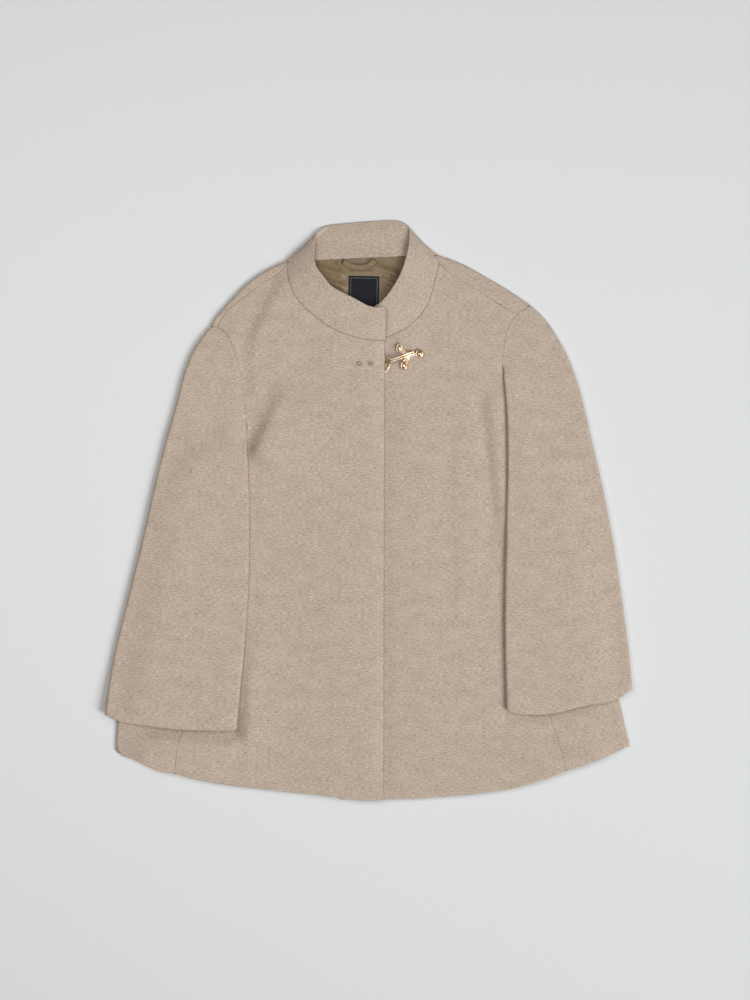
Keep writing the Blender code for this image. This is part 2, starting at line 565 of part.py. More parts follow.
def collar_stations():
    """Rows of seam (x, y, z) and edge (x, y, z) round the collar's outer face."""

    def on_seam(rows, side, top):
        """The rows with their seam set beside the neck seam of that side."""
        made = []
        for x, y, *edge in rows:
            x, y = nearest(side["sign"] * x, y, side["neck"])
            x *= side["sign"]
            edge_x, edge_y, _ = edge
            away = math.hypot(edge_x - x, edge_y - y)
            x, y = (mix(a, b, 1.5 * SEAM_GAP / away) for a, b in ((x, edge_x), (y, edge_y)))
            made.append((x, y, top(x, y), *edge))
        return made

    rows = on_seam(smooth(COLLAR_RIGHT, pieces=2), RIGHT, over_top)

    def turn(side, edges, up, rising):
        """The rows round the fold at a side of the neck, a turning gap inside the back's own fold."""
        sign, height = side["sign"], FOLD_HEIGHT / 2
        low, high = back_wrap.flats(side["shoulder_fold"][0][1])
        tip = side["shoulder_fold"][0][0]
        reach = tip - (high if sign > 0 else -low)
        tip -= TURN_GAP
        made = []
        for i, (ex, ey, ez) in enumerate(edges):
            angle = math.pi * i / (len(edges) - 1)
            angle = math.pi - angle if rising else angle
            x = sign * (tip - reach + reach * math.sin(angle))
            made.append((x, up, height * (1 + math.cos(angle)), ex, ey, ez))
        return made

    rows += turn(RIGHT, smooth(COLLAR_RIGHT_TURN, pieces=2), NECK_LINE[0], False)
    rows += [(x, y, 0.0, ex, ey, ez) for x, y, ex, ey, ez in COLLAR_BACK]
    rows += turn(LEFT, smooth(COLLAR_LEFT_TURN, pieces=2), NECK_LINE[1], True)
    rows += on_seam(smooth(COLLAR_LEFT, pieces=2), LEFT, front_top)
    return np.array(rows)


def make_collar():
    """The stand collar: flat at the back, turned at both sides and raised at the front, right end on top."""
    rows = collar_stations()
    bm = bmesh.new()
    grid = []
    for row in rows:
        band = [mix(row[:3], row[3:], i / COLLAR_ACROSS) for i in range(COLLAR_ACROSS + 1)]
        grid.append([bm.verts.new(point) for point in band])
    for near, far in zip(grid, grid[1:]):
        for i in range(COLLAR_ACROSS):
            bm.faces.new((near[i], near[i + 1], far[i + 1], far[i]))
    bmesh.ops.triangulate(bm, faces=bm.faces[:])
    return cloth("collar", bm, wool)


def plate_from(name, outline, low, thickness, look):
    """A flat plate from its outline in plan."""
    bm = bmesh.new()
    face = bm.faces.new([bm.verts.new(centred(x, y, low)) for x, y in outline])
    raised = bmesh.ops.extrude_face_region(bm, geom=[face])["geom"]
    lifted = [v for v in raised if isinstance(v, bmesh.types.BMVert)]
    bmesh.ops.translate(bm, vec=(0, 0, thickness * MM), verts=lifted)
    bmesh.ops.recalc_face_normals(bm, faces=bm.faces[:])
    mesh = bpy.data.meshes.new(name)
    bm.to_mesh(mesh)
    bm.free()
    return finish(name, mesh, look)


def resting(x, y, top, radius):
    """The height that clears the cloth under a hard piece."""
    ring = [(x + radius * math.cos(a), y + radius * math.sin(a)) for a in np.linspace(0, 2 * math.pi, 13)]
    return max(top(px, py) for px, py in [(x, y), *ring]) + SEAM_GAP


def make_neck():
    """What shows inside the neck: the lining, the hanger loop and the label."""
    outline = smooth([*LINING, LINING[0]], step=10.0)[:-1]
    plate_from("neck_lining", outline, LINING_BASE, LINING_THICKNESS, satin)
    on_lining = LINING_BASE + LINING_THICKNESS + SEAM_GAP
    across, down = LABEL_SIZE
    corner = np.array(LABEL_CORNER)
    right = np.array((math.cos(LABEL_TURN), math.sin(LABEL_TURN)))
    below = np.array((right[1], -right[0]))
    corners = [corner, corner + down * below, corner + down * below + across * right, corner + across * right]
    plate_from("label", corners, on_lining, 1.0, navy)
    path = smooth(LOOP_PATH, step=5.0)
    outline = [*beside(path, LOOP_WIDTH / 2), *beside(path, -LOOP_WIDTH / 2)[::-1]]
    plate_from("hanger_loop", outline[::-1], on_lining, LOOP_THICKNESS, satin)


def dome(name, x, y, width, length, low, height, look):
    """A domed stud or fixing: the upper half of a ball, flattened."""
    bpy.ops.mesh.primitive_uv_sphere_add(segments=20, ring_count=12, radius=0.5)
    made = bpy.context.object
    bm = bmesh.new()
    bm.from_mesh(made.data)
    bmesh.ops.scale(bm, vec=(width * MM, length * MM, 2 * height * MM), verts=bm.verts[:])
    bmesh.ops.translate(bm, vec=centred(x, y, low), verts=bm.verts[:])
    cut = bmesh.ops.bisect_plane(bm, geom=bm.verts[:] + bm.edges[:] + bm.faces[:], dist=1e-6,
                                 plane_co=(0, 0, low * MM), plane_no=(0, 0, 1), clear_inner=True)
    bmesh.ops.holes_fill(bm, edges=[e for e in cut["geom_cut"] if isinstance(e, bmesh.types.BMEdge)])
    mesh = bpy.data.meshes.new(name)
    bm.to_mesh(mesh)
    bm.free()
    bpy.data.objects.remove(made)
    return finish(name, mesh, look)


def make_clasp():
    """The clasp: a three-armed plate with a domed stud on each arm, a hook bar, and the ring it holds."""
    centre = np.array(CLASP_MIDDLE)
    arms = [np.array(stud[:2]) - centre for stud in STUDS.values()]

    def inside(point):
        for arm in arms:
            t = min(1.0, max(0.0, point @ arm / (arm @ arm)))
            if np.linalg.norm(point - t * arm) < PLATE_ARM:
                return True
        return False

    outline = []
    for angle in np.linspace(0, 2 * math.pi, 60, endpoint=False):
        ray = np.array((math.cos(angle), math.sin(angle)))
        radius = max(r for r in np.arange(0.0, 30.0, 0.1) if inside(ray * r))
        outline.append(tuple(centre + ray * radius))
    base = max(resting(x, y, front_top, 4.0) for x, y in [CLASP_MIDDLE, *(s[:2] for s in STUDS.values())])
    plate_from("clasp_plate", outline, base, PLATE_THICKNESS, gold)
    seat = base + PLATE_THICKNESS + SEAM_GAP
    for name, (x, y, width, length) in STUDS.items():
        dome(name, x, y, width, length, seat, STUD_HEIGHT, gold)

    x0, x1, y0, y1 = RING_BOX
    ring_low = max(resting(x, y, front_top, 3.0) for x in (x0, x1) for y in (y0, (y0 + y1) / 2, y1))
    points = [(x0, y0), (x0, mix(y0, y1, 0.5)), (x0, y1)]
    for angle in np.linspace(math.pi / 2, -math.pi / 2, 11)[1:-1]:
        points.append((mix(x0, x1, math.cos(angle)), mix(y0, y1, 0.5 + 0.5 * math.sin(angle))))
    tube("clasp_ring", [(x, y, ring_low + RING_WIRE) for x, y in points], RING_WIRE, gold, cyclic=True)

    over_ring = max(ring_low + 2 * RING_WIRE + SEAM_GAP, seat)
    along = np.array(HOOK_END) - np.array(HOOK_START)
    length = float(np.linalg.norm(along))
    along /= length
    profile = [(0.0, over_ring), (length * 0.55, over_ring + 0.6), (length - 5.0, over_ring + 0.2),
               (length - 2.2, over_ring - 0.6), (length - 0.9, over_ring - 2.6)]
    hook_bar(profile, along)

    for name, (x, y) in FIXINGS.items():
        low = resting(x, y, over_top, FIXING_RADIUS)
        dome(name, x, y, 2 * FIXING_RADIUS, 2 * FIXING_RADIUS, low, FIXING_HEIGHT, wool)


def hook_bar(profile, along):
    """The flat hook bar, drawn along its lower face from the plate to the tip inside the ring."""
    across = np.array((-along[1], along[0])) * HOOK_WIDTH / 2
    line = smooth(profile, step=3.0)
    upper = beside(line, HOOK_THICKNESS)
    bm = bmesh.new()
    rings = []
    for (s, z), (t, w) in zip(line, upper):
        low, high = np.array(HOOK_START) + along * s, np.array(HOOK_START) + along * t
        ring = [(*(low - across), z), (*(low + across), z), (*(high + across), w), (*(high - across), w)]
        rings.append([bm.verts.new(centred(x, y, h)) for x, y, h in ring])
    for near, far in zip(rings, rings[1:]):
        for i in range(4):
            bm.faces.new((near[i], near[(i + 1) % 4], far[(i + 1) % 4], far[i]))
    bm.faces.new(rings[0][::-1])
    bm.faces.new(rings[-1])
    bmesh.ops.recalc_face_normals(bm, faces=bm.faces[:])
    mesh = bpy.data.meshes.new("clasp_hook")
    bm.to_mesh(mesh)
    bm.free()
    made = finish("clasp_hook", mesh, gold)
    rounding = made.modifiers.new("Edges", "BEVEL")
    rounding.width = 0.35 * MM
    rounding.segments = 1
    rounding.limit_method = "ANGLE"
    return made


def tube(name, points, radius, look, cyclic=False):
    """A round wire along the points."""
    curve = bpy.data.curves.new(name, "CURVE")
    curve.dimensions = "3D"
    curve.bevel_depth = radius * MM
    curve.bevel_resolution = 2
    curve.use_fill_caps = not cyclic
    spline = curve.splines.new("POLY")
    spline.points.add(len(points) - 1)
    for point, place in zip(spline.points, points):
        point.co = (*centred(*place), 1)
    spline.use_cyclic_u = cyclic
    curve.materials.append(look)
    made = bpy.data.objects.new(name, curve)
    garment.objects.link(made)
    return made


for leftover in list(bpy.data.objects):
    bpy.data.objects.remove(leftover)

garment = bpy.data.collections.new("wool_cape_jacket")
bpy.context.scene.collection.children.link(garment)

wool = material("wool_coating", WOOL, 0.95)
satin = material("lining_satin", SATIN, 0.4)
navy = material("label_weave", NAVY, 0.8)
gold = material("gold_plated_brass", GOLD, 0.25, 1.0)

make_back()
make_front("front_right", RIGHT, over_top, smooth([(-x, y) for x, y in RIGHT_EDGE]))
make_front("front_left", LEFT, front_top, smooth(LEFT_EDGE))
make_sleeve("sleeve_right", RIGHT)
make_sleeve("sleeve_left", LEFT)
make_collar()
make_neck()
make_clasp()
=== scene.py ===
import math

import bmesh
import bpy
import numpy as np
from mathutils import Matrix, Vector, geometry, kdtree, noise


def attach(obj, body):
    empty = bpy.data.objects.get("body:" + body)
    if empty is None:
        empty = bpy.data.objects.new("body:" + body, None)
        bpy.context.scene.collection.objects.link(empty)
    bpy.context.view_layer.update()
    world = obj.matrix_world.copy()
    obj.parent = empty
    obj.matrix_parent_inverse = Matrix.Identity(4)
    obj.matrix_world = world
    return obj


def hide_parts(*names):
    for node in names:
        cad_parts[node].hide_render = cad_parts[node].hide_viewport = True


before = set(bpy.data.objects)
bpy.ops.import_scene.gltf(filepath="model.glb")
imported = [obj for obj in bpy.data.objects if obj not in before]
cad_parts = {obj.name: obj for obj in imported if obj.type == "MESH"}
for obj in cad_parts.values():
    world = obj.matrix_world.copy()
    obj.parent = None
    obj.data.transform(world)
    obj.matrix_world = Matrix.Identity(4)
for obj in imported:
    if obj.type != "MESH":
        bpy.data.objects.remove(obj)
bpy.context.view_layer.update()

# Back panel. Wool coating in one whole piece, flat on the surface and wrapped forward over both shoulders and
# round both sides to the forward seams. The cloth is a melange: light and dark fibres spun together, milled
# and cropped, which the eye sees as a matt oatmeal colour with short flecks along the weft.

MM = 0.001
CENTRE = (0.0, 1.6)  # the middle of the garment, in the plan lines' own millimetres
WALL = 2.4  # coating and lining together
SEAM_GAP = 0.05
SEAM_ROUNDING = 0.34
SEAM_SINK = 0.6  # how deep a pressed seam lies
SOFT_SEAM_ROUNDING = 0.33
SOFT_SEAM_SINK = 0.2  # the same where steam has closed the seam, so that it hardly shows
SOFT_SEAM = (112.0, 218.0)  # the stretch of the right armhole, up the garment, where that is so
EDGE_ROUNDING = 1.3
EDGE_ROWS = [0.35, 0.9, 1.8]  # how far in from an edge its own rows of points lie
EDGE_CLEAR = 3.2  # where the plain grid of points begins
FOLD_HEIGHT = 5.8  # top of the fronts where the back wraps round to them
FOLD_DEPTH = 3.6  # how far in a fold reaches, at most, where it runs straight up
FOLD_ARC = 9.0  # cloth that a fold takes up
FOLD_OPENING = 14.0  # how long a fold takes to open out at its end
BACK_WIDTH = 620.0
BACK_FLAP = 116.0  # how far the back returns past its folds, at most
BELLY = 2.6  # how much higher the fronts lie away from the folds
BELLY_RUN = 60.0
NECK_MIDDLE = (-5.0, 290.0)
NECK_RAISE = 3.0
NECK_SPREAD = 55.0
CLOSING_DIP = 2.2  # how deep the fronts are pressed down along their closing
CLOSING_SPREAD = 9.0
HEM_LINE = -372.0
HEM_EASE = 1.5  # the back's hem lies this much inside the fronts' hem
HEM_TURN = 60.0  # the allowance turned up inside the hem
HEM_RISE = 4.0
HEM_CORNERS = (1.2, 1.7)  # how far inside its right and left corner the back's own hem ends
UNDER_ARM = 3.0  # how far below the armhole the back's flap begins

RIGHT_EDGE = [(20.5, 218.4), (19.6, -75.0), (18.6, -366.0)]

# Soft folds that lie in the fronts: start, end, half width to the left and to the right of that direction,
# height at the start, height at the end
FRONT_FOLDS = [
    ((-166.0, 62.0), (-144.0, 112.0), 10.0, 12.0, -3.6, -1.6),
    ((-144.0, 66.0), (-106.0, 146.0), 13.5, 60.0, 12.2, 5.4),
    ((-118.0, 307.0), (-161.0, 217.0), 8.0, 12.0, -1.8, -2.0),
    ((-102.0, 302.0), (-142.0, 208.0), 48.0, 14.0, 3.2, 3.6),
    ((-160.0, 206.0), (-159.0, 150.0), 12.0, 8.0, -2.8, -2.2),
    ((-150.0, 40.0), (-150.0, -160.0), 10.0, 9.0, -1.2, -1.0),
    ((-160.0, -150.0), (-169.0, -284.0), 8.0, 8.0, -1.4, -2.2),
    ((-146.0, -150.0), (-152.0, -292.0), 40.0, 10.0, 2.0, 4.8),
    ((-168.0, -283.0), (-322.0, -269.0), 9.0, 30.0, -3.6, -4.4),
    ((-172.0, -304.0), (-322.0, -290.0), 24.0, 9.0, 3.8, 5.0),
    ((172.0, -262.0), (324.0, -240.0), 30.0, 9.0, -1.8, -2.6),
    ((178.0, -280.0), (324.0, -258.0), 10.0, 22.0, 1.4, 2.4),
    ((114.0, 96.0), (115.0, -150.0), 26.0, 4.5, 1.3, 1.0),
    ((141.0, 150.0), (160.0, -20.0), 8.0, 9.0, -1.8, -1.4),
    ((157.0, 146.0), (174.0, -20.0), 14.0, 8.0, 3.0, 2.0),
    ((60.0, 120.0), (72.0, -280.0), 34.0, 26.0, 1.2, 0.9),
]

# Plan lines of the wearer's left and right side, as (out from the middle, up towards the collar)
LEFT = {
    "sign": 1,
    "shoulder_fold": [(90.0, 328.3), (114.6, 319.4), (151.0, 300.2), (181.1, 282.2), (200.3, 269.4),
                      (208.0, 264.3)],
    "side_fold": [(208.0, 264.3), (216.0, 230.0), (234.0, 150.0), (254.0, 68.0), (294.0, -110.0),
                  (320.6, -238.7), (334.7, -300.2), (351.0, -376.0)],
    "shoulder_seam": [(91.0, 316.8), (113.3, 298.9), (131.2, 288.6), (163.2, 268.2), (189.7, 251.9)],
    "neck": [(90.9, 316.8), (87.7, 307.8), (82.6, 284.8), (74.9, 264.3), (59.5, 243.8), (41.6, 231.0),
             (23.7, 224.0), (5.0, 220.5), (-35.5, 219.5)],
    "armhole": [(189.7, 251.9), (181.1, 241.3), (176.8, 228.5), (174.3, 214.4), (171.6, 193.9),
                (173.6, 170.0), (178.0, 145.0), (184.0, 120.0), (194.0, 98.0), (210.0, 80.0), (236.0, 68.0)],
    "armhole_top": [(208.0, 264.3), (202.9, 261.1), (193.9, 256.6), (189.7, 251.9)],
    "armhole_back": [(208.0, 264.3), (200.0, 252.0), (191.0, 230.0), (186.0, 200.0), (184.0, 165.0),
                     (190.0, 132.0), (206.0, 104.0), (230.0, 86.0), (250.0, 77.0)],
    "underarm": (262.0, 67.0),
    "side_seam": [(236.0, 68.0), (227.0, -60.0), (225.0, -190.0), (232.3, -263.0), (240.6, -286.0),
                  (252.8, -332.4)],
    "hem": [(18.6, -368.6), (54.4, -367.7), (90.9, -365.4), (142.7, -361.0), (182.4, -354.8),
            (220.8, -344.6), (252.8, -332.5), (288.6, -320.4), (310.4, -311.0), (334.7, -300.2)],
    "sleeve_inner": [(170.4, 268.0), (171.6, 190.0), (172.8, 176.0), (174.9, 151.7), (177.1, 119.7),
                     (177.7, 81.0), (177.8, 48.0), (176.6, -4.5), (175.6, -48.0), (174.1, -142.7),
                     (176.6, -264.0)],
    "sleeve_outer": [(208.0, 264.3), (227.2, 245.1), (243.8, 219.5), (253.4, 201.6), (264.3, 174.7),
                     (270.7, 154.2), (278.4, 124.8), (282.9, 104.3), (298.9, 35.2), (315.5, -50.6),
                     (325.8, -121.0), (334.7, -190.1), (337.6, -224.6), (339.0, -262.0)],
    "sleeve_hem": [(178.0, -256.1), (195.2, -258.8), (228.5, -259.2), (273.3, -249.0), (323.2, -237.4),
                   (334.0, -229.0)],
    # up, height over the inner fold, height over the outer fold
    "sleeve_height": [(268.0, 6.2, 6.0), (240.0, 7.6, 7.2), (215.0, 8.6, 8.0), (193.0, 9.8, 8.2),
                      (172.0, 12.6, 8.4), (120.0, 15.4, 8.6), (-60.0, 15.8, 9.0), (-200.0, 15.6, 9.2),
                      (-262.0, 16.6, 12.0)],
    # up, where the upper layer starts to come down to the surface, how far that takes
    "sleeve_drop": [(250.0, 172.0, 36.0), (190.0, 174.0, 30.0), (145.0, 180.0, 32.0), (98.0, 196.0, 40.0),
                    (66.0, 226.0, 54.0), (20.0, 246.0, 52.0), (-60.0, 258.0, 52.0), (-262.0, 292.0, 40.0)],
    "fold_start": 193.0,
}
RIGHT = {
    "sign": -1,
    "shoulder_fold": [(108.0, 319.8), (121.0, 314.0), (137.6, 305.3), (159.4, 288.6), (182.4, 264.3),
                      (196.5, 247.7), (202.6, 237.4)],
    "side_fold": [(202.6, 237.4), (208.0, 210.0), (222.0, 140.0), (242.0, 60.0), (282.0, -110.0),
                  (313.0, -235.0), (321.2, -269.4), (323.2, -306.6), (326.0, -376.0)],
    "shoulder_seam": [(103.0, 316.8), (114.6, 305.3), (133.8, 293.8), (154.2, 278.4), (170.9, 265.6),
                      (188.8, 246.4), (193.0, 236.2)],
    "neck": [(103.5, 316.8), (103.9, 309.1), (101.8, 293.8), (86.4, 265.6), (72.3, 252.8), (58.2, 241.3),
             (33.3, 228.5), (8.8, 220.8), (-20.5, 218.2)],
    "armhole": [(193.0, 236.2), (182.4, 228.5), (174.0, 211.0), (167.0, 187.0), (161.0, 157.0),
                (157.2, 125.0), (156.0, 99.2), (160.0, 88.0), (169.0, 76.0), (184.0, 66.0), (205.0, 59.0),
                (226.0, 56.0)],
    "armhole_top": [(202.6, 237.4), (198.0, 236.6), (193.0, 236.2)],
    "armhole_back": [(202.6, 237.4), (192.0, 220.0), (182.0, 190.0), (177.0, 155.0), (181.0, 121.0),
                     (195.0, 93.0), (216.0, 75.0), (237.0, 67.0)],
    "underarm": (251.0, 57.0),
    "side_seam": [(226.0, 56.0), (223.0, -100.0), (228.0, -220.0), (237.4, -277.1), (242.6, -296.3),
                  (249.0, -335.6)],
    "hem": [(-18.0, -369.2), (10.9, -369.6), (36.5, -366.1), (126.1, -356.5), (186.2, -349.4),
            (225.9, -341.8), (249.0, -335.6), (270.7, -331.6), (287.4, -323.6), (301.4, -317.0),
            (317.3, -312.4), (323.2, -306.6)],
    "sleeve_inner": [(153.6, 242.0), (154.9, 130.0), (155.9, 99.2), (155.1, 81.3), (154.2, 62.0),
                     (152.3, -22.4), (153.5, -91.5), (156.8, -147.8), (160.6, -196.5), (163.2, -220.8),
                     (168.6, -284.0)],
    "sleeve_outer": [(202.6, 237.4), (212.8, 224.6), (222.7, 209.9), (235.3, 180.5), (247.0, 136.3),
                     (259.6, 92.3), (272.6, 40.3), (290.0, -36.5), (309.1, -113.3), (328.3, -195.0),
                     (337.6, -258.0), (340.0, -284.0)],
    "sleeve_hem": [(168.3, -279.7), (205.0, -279.6), (241.3, -278.4), (286.1, -273.3), (316.8, -268.2),
                   (334.6, -261.4)],
    "sleeve_height": [(242.0, 6.2, 6.0), (205.0, 7.8, 7.6), (150.0, 8.6, 8.6), (118.0, 9.6, 8.8),
                      (96.0, 12.0, 9.0), (78.0, 14.6, 9.0), (0.0, 14.6, 9.2), (-200.0, 15.0, 9.6),
                      (-284.0, 17.8, 16.6)],
    "sleeve_drop": [(240.0, 160.0, 36.0), (150.0, 164.0, 40.0), (100.0, 180.0, 44.0), (56.0, 212.0, 56.0),
                    (10.0, 230.0, 54.0), (-60.0, 248.0, 48.0), (-284.0, 292.0, 42.0)],
    "fold_start": 99.2,
}


def ease(t):
    """0 before t = 0 and 1 after t = 1, smooth between."""
    t = min(1.0, max(0.0, t))
    return t * t * (3 - 2 * t)


def mix(a, b, t):
    return a + (b - a) * t


def smooth(points, step=9.0, pieces=None):
    """A smooth line through the points, with a point about every step, or so many pieces a span."""
    p = np.array(points, float)
    gaps = np.linalg.norm(np.diff(p, axis=0), axis=1)
    slopes = np.diff(p, axis=0) / gaps[:, None]
    inner = (slopes[:-1] * gaps[1:, None] + slopes[1:] * gaps[:-1, None]) / (gaps[:-1] + gaps[1:])[:, None]
    tangents = np.vstack([slopes[:1], inner, slopes[-1:]])
    line = []
    for i, gap in enumerate(gaps):
        count = pieces or max(1, round(gap / step))
        for t in np.arange(count) / count:
            s = 1 - t
            line.append(p[i] * s * s * (1 + 2 * t) + p[i + 1] * t * t * (1 + 2 * s)
                        + gap * t * s * (tangents[i] * s - tangents[i + 1] * t))
    line.append(p[-1])
    return np.array(line)


def beside(line, distance):
    """The line moved sideways, to the left of its direction where distance is above zero."""
    line = np.asarray(line)
    along = np.gradient(line, axis=0)
    along /= np.linalg.norm(along, axis=1)[:, None]
    return line + distance * np.column_stack([-along[:, 1], along[:, 0]])


def reader(line):
    """A function giving out at a height up, read from a plan line whose up only grows or only falls."""
    line = line[np.argsort(line[:, 1])]
    return lambda up: float(np.interp(up, line[:, 1], line[:, 0]))


def mirrored_line(line, side):
    """A side's plan line of (out, up) as (x, y)."""
    return [(side["sign"] * out, up) for out, up in line]


for side in (LEFT, RIGHT):
    for name in ("shoulder_fold", "side_fold", "shoulder_seam", "neck", "armhole", "armhole_top",
                 "armhole_back", "side_seam", "hem", "sleeve_inner", "sleeve_outer", "sleeve_hem"):
        side[name] = smooth(side[name])
    side["fold_at"] = reader(np.vstack([side["shoulder_fold"], side["side_fold"][1:]]))
    side["inner_at"] = reader(side["sleeve_inner"])
    side["outer_at"] = reader(side["sleeve_outer"])
    side["seam_high"] = side["armhole"][side["armhole"][:, 1] > side["fold_start"] - 4.0]
heights = RIGHT["armhole"][:, 1]
RIGHT["soft_seam"] = RIGHT["armhole"][(heights > SOFT_SEAM[0]) & (heights < SOFT_SEAM[1])]
right_edge_at = reader(smooth(RIGHT_EDGE))


def fold_relief(x, y, folds):
    """Height that the folds add at a place in plan."""
    total = 0.0
    for (x0, y0), (x1, y1), left, right, first, last in folds:
        run = math.hypot(x1 - x0, y1 - y0)
        along = ((x - x0) * (x1 - x0) + (y - y0) * (y1 - y0)) / run
        aside = ((x - x0) * (y1 - y0) - (y - y0) * (x1 - x0)) / run
        width = right if aside > 0 else left
        if abs(aside) > 3 * width:
            continue
        end = min(left, right)
        fade = ease((along + end) / (2 * end)) * ease((run - along + 2 * end) / (3 * end))
        total += mix(first, last, ease(along / run)) * fade * math.exp(-((aside / width) ** 2))
    return total


def slack(x, y, seed):
    """The small unevenness of cloth that lies loose, in mm."""
    broad = noise.noise(Vector((x / 120, y / 150, seed)))
    return 0.5 * broad + 0.28 * noise.noise(Vector((x / 42, y / 60, seed)))


def front_top(x, y):
    """Height of the top of the fronts, and of the back where it wraps round to them."""
    side = LEFT if x > 0 else RIGHT
    inside = side["fold_at"](y) - abs(x)
    clear = ease(inside / BELLY_RUN) * ease((y - HEM_LINE) / BELLY_RUN)
    near_neck = math.hypot(x - NECK_MIDDLE[0], y - NECK_MIDDLE[1]) / NECK_SPREAD
    raised = NECK_RAISE * math.exp(-0.5 * near_neck ** 2) * ease(inside / 20.0)
    lying = BELLY + fold_relief(x, y, FRONT_FOLDS) + 0.8 * slack(x, y, 1.0)
    beside_edge = (x - right_edge_at(y) - 0.5) / CLOSING_SPREAD
    closing = CLOSING_DIP * math.exp(-(beside_edge ** 2)) * ease((y - HEM_LINE) / 40.0)
    hem_up = float(np.interp(abs(x), side["hem"][:, 0], side["hem"][:, 1]))
    turned_up = HEM_RISE * (1 - ease((y - hem_up) / HEM_TURN)) * ease(inside / 40.0)
    return FOLD_HEIGHT + lying * clear + raised + turned_up - closing


class Wrap:
    """A cloth wrapped round two folds that run up the garment.

    A place in the cut is (across, up). From 0 to width it lies on the face between the folds, a fold takes up
    FOLD_ARC on each side, and past that the cloth returns under or over the face.
    """

    def __init__(self, low_edge, high_edge, face, low_return, high_return, width, low_fold_top=1e9):
        self.edges = (low_edge, high_edge)
        self.low_fold_top = low_fold_top
        self.face = face
        self.returns = (low_return, high_return)
        self.width = width

    def reach(self, which, up):
        """How far in from its edge a fold reaches in plan: further where the fold runs aslant."""
        edge, span = self.edges[which], 4.0
        slant = (edge(up + span) - edge(up - span)) / (2 * span)
        inner = edge(up) + (1, -1)[which] * FOLD_HEIGHT / 2
        half = abs(self.face(inner, up) - self.returns[which](inner, up)) / 2
        folded = ease((self.low_fold_top - up) / FOLD_OPENING) if which == 0 else 1.0
        return min(max(half, FOLD_HEIGHT / 2), FOLD_DEPTH) * math.sqrt(1 + min(slant * slant, 6.0)) * folded

    def flats(self, up):
        return self.edges[0](up) + self.reach(0, up), self.edges[1](up) - self.reach(1, up)

    def on_face(self, x, up):
        low, high = self.flats(up)
        return self.width * min(1.0, max(0.0, (x - low) / (high - low))), up

    def past_low(self, x, up):
        return -FOLD_ARC - max(0.0, x - self.flats(up)[0]), up

    def past_high(self, x, up):
        return self.width + FOLD_ARC + max(0.0, self.flats(up)[1] - x), up

    def place(self, across, up):
        """The point of the cloth's outer face at a place of the cut, and its place along the weft."""
        low, high = self.flats(up)
        if 0 <= across <= self.width:
            x = mix(low, high, across / self.width)
            return x, up, self.face(x, up), x
        which = 0 if across < 0 else 1
        start = (low, high)[which]
        beyond = -across if which == 0 else across - self.width
        sign = (-1, 1)[which]
        weft = start + sign * beyond
        if beyond >= FOLD_ARC:
            x = start - sign * (beyond - FOLD_ARC)
            return x, up, self.returns[which](x, up), weft
        turn = math.pi * beyond / FOLD_ARC
        near, far = self.face(start, up), self.returns[which](start, up)
        x = start + sign * self.reach(which, up) * math.sin(turn)
        return x, up, (near + far) / 2 + (near - far) / 2 * math.cos(turn), weft


def spread(first, last, step):
    count = max(1, round((last - first) / step))
    return [mix(first, last, i / count) for i in range(count + 1)]


def inset(points, distance):
    """A closed outline, anticlockwise, moved inwards."""
    p = np.array(points, float)
    p = p[np.linalg.norm(p - np.roll(p, 1, axis=0), axis=1) > 0.05]
    before = p - np.roll(p, 1, axis=0)
    after = np.roll(before, -1, axis=0)
    turned = [np.column_stack([-d[:, 1], d[:, 0]]) for d in (before, after)]
    normals = [d / np.linalg.norm(d, axis=1)[:, None] for d in turned]
    middle = normals[0] + normals[1]
    middle /= np.maximum((middle * normals[0]).sum(axis=1), 0.5)[:, None]
    return [tuple(q) for q in p + distance * middle]


def cut_out(outline, columns, rows, step=3.0):
    """The cut's points, its triangles, and each point's distance to the outline.

    The points are a grid, with the outline and rows beside it where the edge is rounded.
    """
    outline = [p for i, p in enumerate(outline) if math.dist(p, outline[i - 1]) > 0.05]
    if sum(a[0] * b[1] - b[0] * a[1] for a, b in zip(outline, outline[1:] + outline[:1])) < 0:
        outline = outline[::-1]
    border = []
    for a, b in zip(outline, outline[1:] + outline[:1]):
        count = max(1, math.ceil(math.dist(a, b) / step))
        border += [(mix(a[0], b[0], i / count), mix(a[1], b[1], i / count)) for i in range(count)]
    tree = kdtree.KDTree(len(border))
    for i, (x, y) in enumerate(border):
        tree.insert((x, y, 0), i)
    tree.balance()

    def to_outline(x, y):
        _, closest, _ = tree.find((x, y, 0))
        found = 1e9
        for i in (closest - 1, closest):
            a, b = np.array(border[i]), np.array(border[(i + 1) % len(border)])
            t = min(1.0, max(0.0, float((np.array((x, y)) - a) @ (b - a) / ((b - a) @ (b - a)))))
            found = min(found, math.dist(a + t * (b - a), (x, y)))
        return found

    rim = [0.0] * len(border)
    points = list(border)
    for distance in EDGE_ROWS:
        for x, y in inset(border, distance):
            if to_outline(x, y) > 0.9 * distance:
                points.append((x, y))
                rim.append(distance)
    for x in columns:
        for y in rows:
            _, _, near = tree.find((x, y, 0))
            if near >= EDGE_CLEAR:
                points.append((x, y))
                rim.append(near)
    made = geometry.delaunay_2d_cdt([Vector(p) for p in points], [], [list(range(len(border)))], 1, 1e-4)
    corners, faces, origins = made[0], made[2], made[3]
    used = sorted({i for face in faces for i in face})
    order = {old: new for new, old in enumerate(used)}
    places = [tuple(corners[i]) for i in used]
    edge_distance = [min(rim[j] for j in origins[i]) if origins[i] else 0.0 for i in used]
    return places, [[order[i] for i in face] for face in faces], edge_distance


def in_metres(points):
    """Points of the plan lines, in mm, as metres from the middle of the garment."""
    return (np.array(points, float) - (*CENTRE, 0.0)) * MM


def put(name, data):
    """A new object in the scene."""
    made = bpy.data.objects.new(name, data)
    bpy.context.scene.collection.objects.link(made)
    return made


